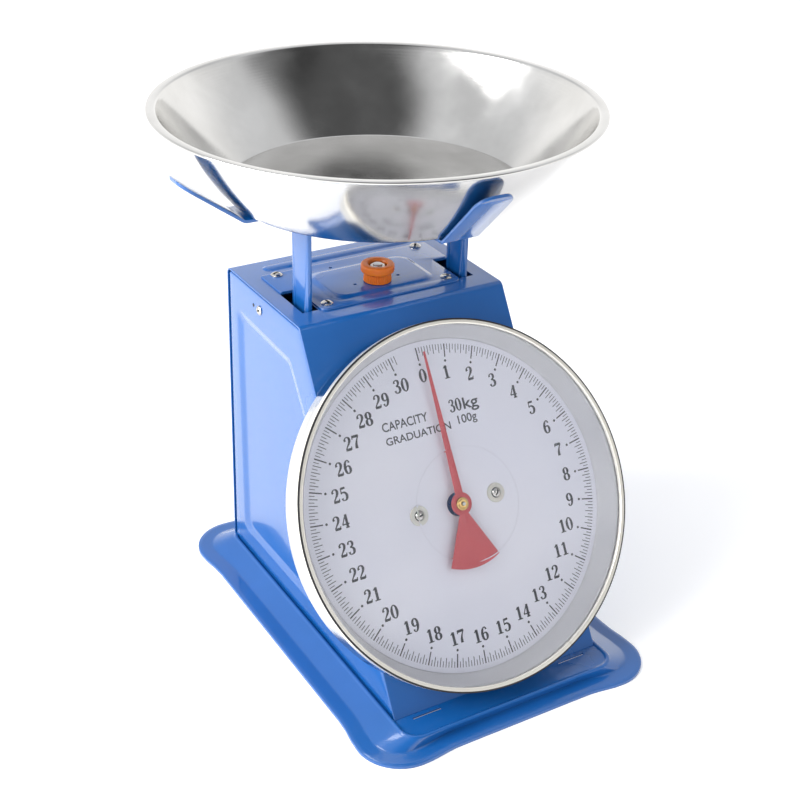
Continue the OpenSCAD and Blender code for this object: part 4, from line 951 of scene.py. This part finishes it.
def tube_along(points, r, sides=12):
    """Round wire along a path of points."""
    rings = []
    side = None
    for i, p in enumerate(points):
        way = (points[min(i + 1, len(points) - 1)] - points[max(i - 1, 0)]).normalized()
        if side is None:
            side = way.orthogonal().normalized()
        side = (side - way * side.dot(way)).normalized()
        over = way.cross(side)
        rings.append([p + r * (side * cos(a) + over * sin(a)) for a in angles(sides)])
    return loft(rings, caps=(True, True))


def make_spring(name, node):
    low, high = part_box(node)
    centre = (low + high) / 2
    wire, r = 1.1 * MM, (high.x - low.x) / 2 - 1.1 * MM
    bottom, top = low.z + 10.5 * MM, high.z - 10.5 * MM
    turns = int((top - bottom) / (2.7 * MM))
    path = [centre + Vector((0, 0, z - centre.z)) for z in (low.z + 1.2 * MM, low.z + 6 * MM)]
    per_turn = 28
    for i in range(turns * per_turn + 1):
        t = i / (turns * per_turn)
        a = 2 * pi * turns * t
        ends = min(1, i / per_turn * 2, (turns * per_turn - i) / per_turn * 2)
        rr = r * (0.12 + 0.88 * ease(ends))
        path.append(Vector((centre.x + rr * cos(a), centre.y + rr * sin(a), bottom + (top - bottom) * t)))
    path += [centre + Vector((0, 0, z - centre.z)) for z in (high.z - 6 * MM, high.z - 1.2 * MM)]
    coil = show(name, *tube_along(path, wire), "housing", "spring_steel", LOOK["spring"], [node], crease=60)
    coil.parent = None
    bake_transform(coil)


# ------------------------------------------------------------ CAD nodes that keep their shape

KEPT = {
    "blue": ["left_post", "right_post", "cross_arm_side"],
    "zinc": ["cover_foot_screws", "link_stand", "stand_screws", "link_rods", "dial_spacers",
             "dial_screw_nuts", "movement_screws", "rack_pin", "bracket_screws", "post_pins",
             "lower_beam", "beam_rivets", "cross_rivets", "spring_hanger", "zero_stud", "upper_link",
             "lower_link", "rack_bracket", "pinion_shaft"],
    "brass": ["movement_front_plate", "movement_back_plate", "movement_pillars", "pivot_bushes", "pinion",
              "rack", "pointer_collet", "pointer_nut"],
    "nickel": ["knob_nut"],
}


def dress(node, look):
    """Gives a CAD node its finish and fine rounded edges."""
    piece = frame["nodes"][node]
    piece.data.materials.clear()
    piece.data.materials.append(look)
    piece.data.shade_smooth()
    weld = piece.modifiers.new("weld", "WELD")
    weld.merge_threshold = 1e-6
    fine = node in ("pinion", "rack", "pinion_shaft")
    bevel(piece, (0.05 if fine else 0.3) * MM, 2, 30)


# ------------------------------------------------------------ studio

def make_floor():
    half = 2.1
    floor = bpy.data.meshes.new("floor")
    corners = [(-half, -half, 0), (half, -half, 0), (half, half, 0), (-half, half, 0)]
    floor.from_pydata(corners, [], [[0, 1, 2, 3]])
    floor.materials.append(LOOK["floor"])
    piece = bpy.data.objects.new("floor", floor)
    piece.location.z = -0.2 * MM
    bpy.context.scene.collection.objects.link(piece)


def add_lamp(name, spot, target, size, power):
    data = bpy.data.lights.new(name, "AREA")
    data.shape = "RECTANGLE"
    data.size, data.size_y = size
    data.energy = power
    lamp = bpy.data.objects.new(name, data)
    lamp.location = spot
    lamp.rotation_euler = (Vector(target) - Vector(spot)).to_track_quat("-Z", "Y").to_euler()
    bpy.context.scene.collection.objects.link(lamp)
    return lamp


def dimmed(nodes, links, direction, rim, core, least):
    """Factor of the sky's light that falls from 1 to least near a direction. rim and core are
    the cosines where the fall starts and ends."""
    near = nodes.new("ShaderNodeVectorMath")
    near.operation = "DOT_PRODUCT"
    near.inputs[1].default_value = Vector(direction).normalized()
    links.new(nodes["Texture Coordinate"].outputs["Generated"], near.inputs[0])
    fall = nodes.new("ShaderNodeMapRange")
    fall.interpolation_type = "SMOOTHSTEP"
    fall.inputs["From Min"].default_value = rim
    fall.inputs["From Max"].default_value = core
    fall.inputs["To Min"].default_value = 1
    fall.inputs["To Max"].default_value = least
    links.new(near.outputs["Value"], fall.inputs["Value"])
    return fall.outputs["Result"]


def make_studio():
    middle = (0, 0, 0.15)
    add_lamp("key", (-1.7, 0.15, 1.15), middle, (1.5, 1.2), 54)
    add_lamp("overhead", (0.0, 0.2, 2.4), middle, (2.2, 2.2), 12).visible_glossy = False
    add_lamp("fill", (0.7, -1.9, 1.3), middle, (1.4, 1.2), 9.5).visible_glossy = False
    world = bpy.data.worlds.new("studio")
    world.use_nodes = True
    nodes, links = world.node_tree.nodes, world.node_tree.links
    toward = nodes.new("ShaderNodeTexCoord")
    parts = nodes.new("ShaderNodeSeparateXYZ")
    sky = nodes.new("ShaderNodeValToRGB")
    sky.color_ramp.interpolation = "EASE"
    horizon, top = sky.color_ramp.elements
    horizon.position, horizon.color = 0.2, (1, 1, 1, 1)
    top.position, top.color = 0.6, (0.6, 0.61, 0.63, 1)
    links.new(toward.outputs["Generated"], parts.inputs["Vector"])
    links.new(parts.outputs["Z"], sky.inputs["Fac"])
    links.new(sky.outputs["Color"], nodes["Background"].inputs["Color"])
    above = dimmed(nodes, links, (-0.02, -0.46, 0.88), 0.75, 0.94, 0.14)
    ahead = dimmed(nodes, links, (0.45, -0.78, 0.43), 0.86, 0.97, 0.3)
    both = nodes.new("ShaderNodeMath")
    both.operation = "MULTIPLY"
    links.new(above, both.inputs[0])
    links.new(ahead, both.inputs[1])
    strength = nodes.new("ShaderNodeMath")
    strength.operation = "MULTIPLY"
    strength.inputs[1].default_value = 1.22
    links.new(both.outputs[0], strength.inputs[0])
    links.new(strength.outputs[0], nodes["Background"].inputs["Strength"])
    bpy.context.scene.world = world
    bpy.context.scene.view_settings.view_transform = "Standard"


def make_camera():
    spot = Vector((-0.44095, -0.7351, 0.62345))
    yaw, pitch, roll = radians(31.17), radians(28.84), radians(1.47)
    ahead = Vector((sin(yaw) * cos(pitch), cos(yaw) * cos(pitch), -sin(pitch)))
    right = Vector((cos(yaw), -sin(yaw), 0))
    up = right.cross(ahead)
    side = right * cos(roll) + up * sin(roll)
    top = up * cos(roll) - right * sin(roll)
    data = bpy.data.cameras.new("camera")
    data.lens = 64.73
    data.sensor_width = 36
    camera = bpy.data.objects.new("camera", data)
    camera.matrix_world = Matrix.Translation(spot) @ Matrix((side, top, -ahead)).transposed().to_4x4()
    bpy.context.scene.collection.objects.link(camera)
    bpy.context.scene.camera = camera


make_camera()
make_studio()
make_floor()
make_base()
make_cover()
make_side_panel(-1, "left_panel", "left_side_panel")
make_side_panel(1, "right_panel", "right_side_panel")
make_top_plate()
make_screws()
make_case()
make_washers()
make_print()
make_pointer()
make_pan()
make_front_arm()
make_knob()
make_spring("left_coil", "left_spring")
make_spring("right_coil", "right_spring")
for finish, nodes in KEPT.items():
    for node in nodes:
        dress(node, LOOK[finish])
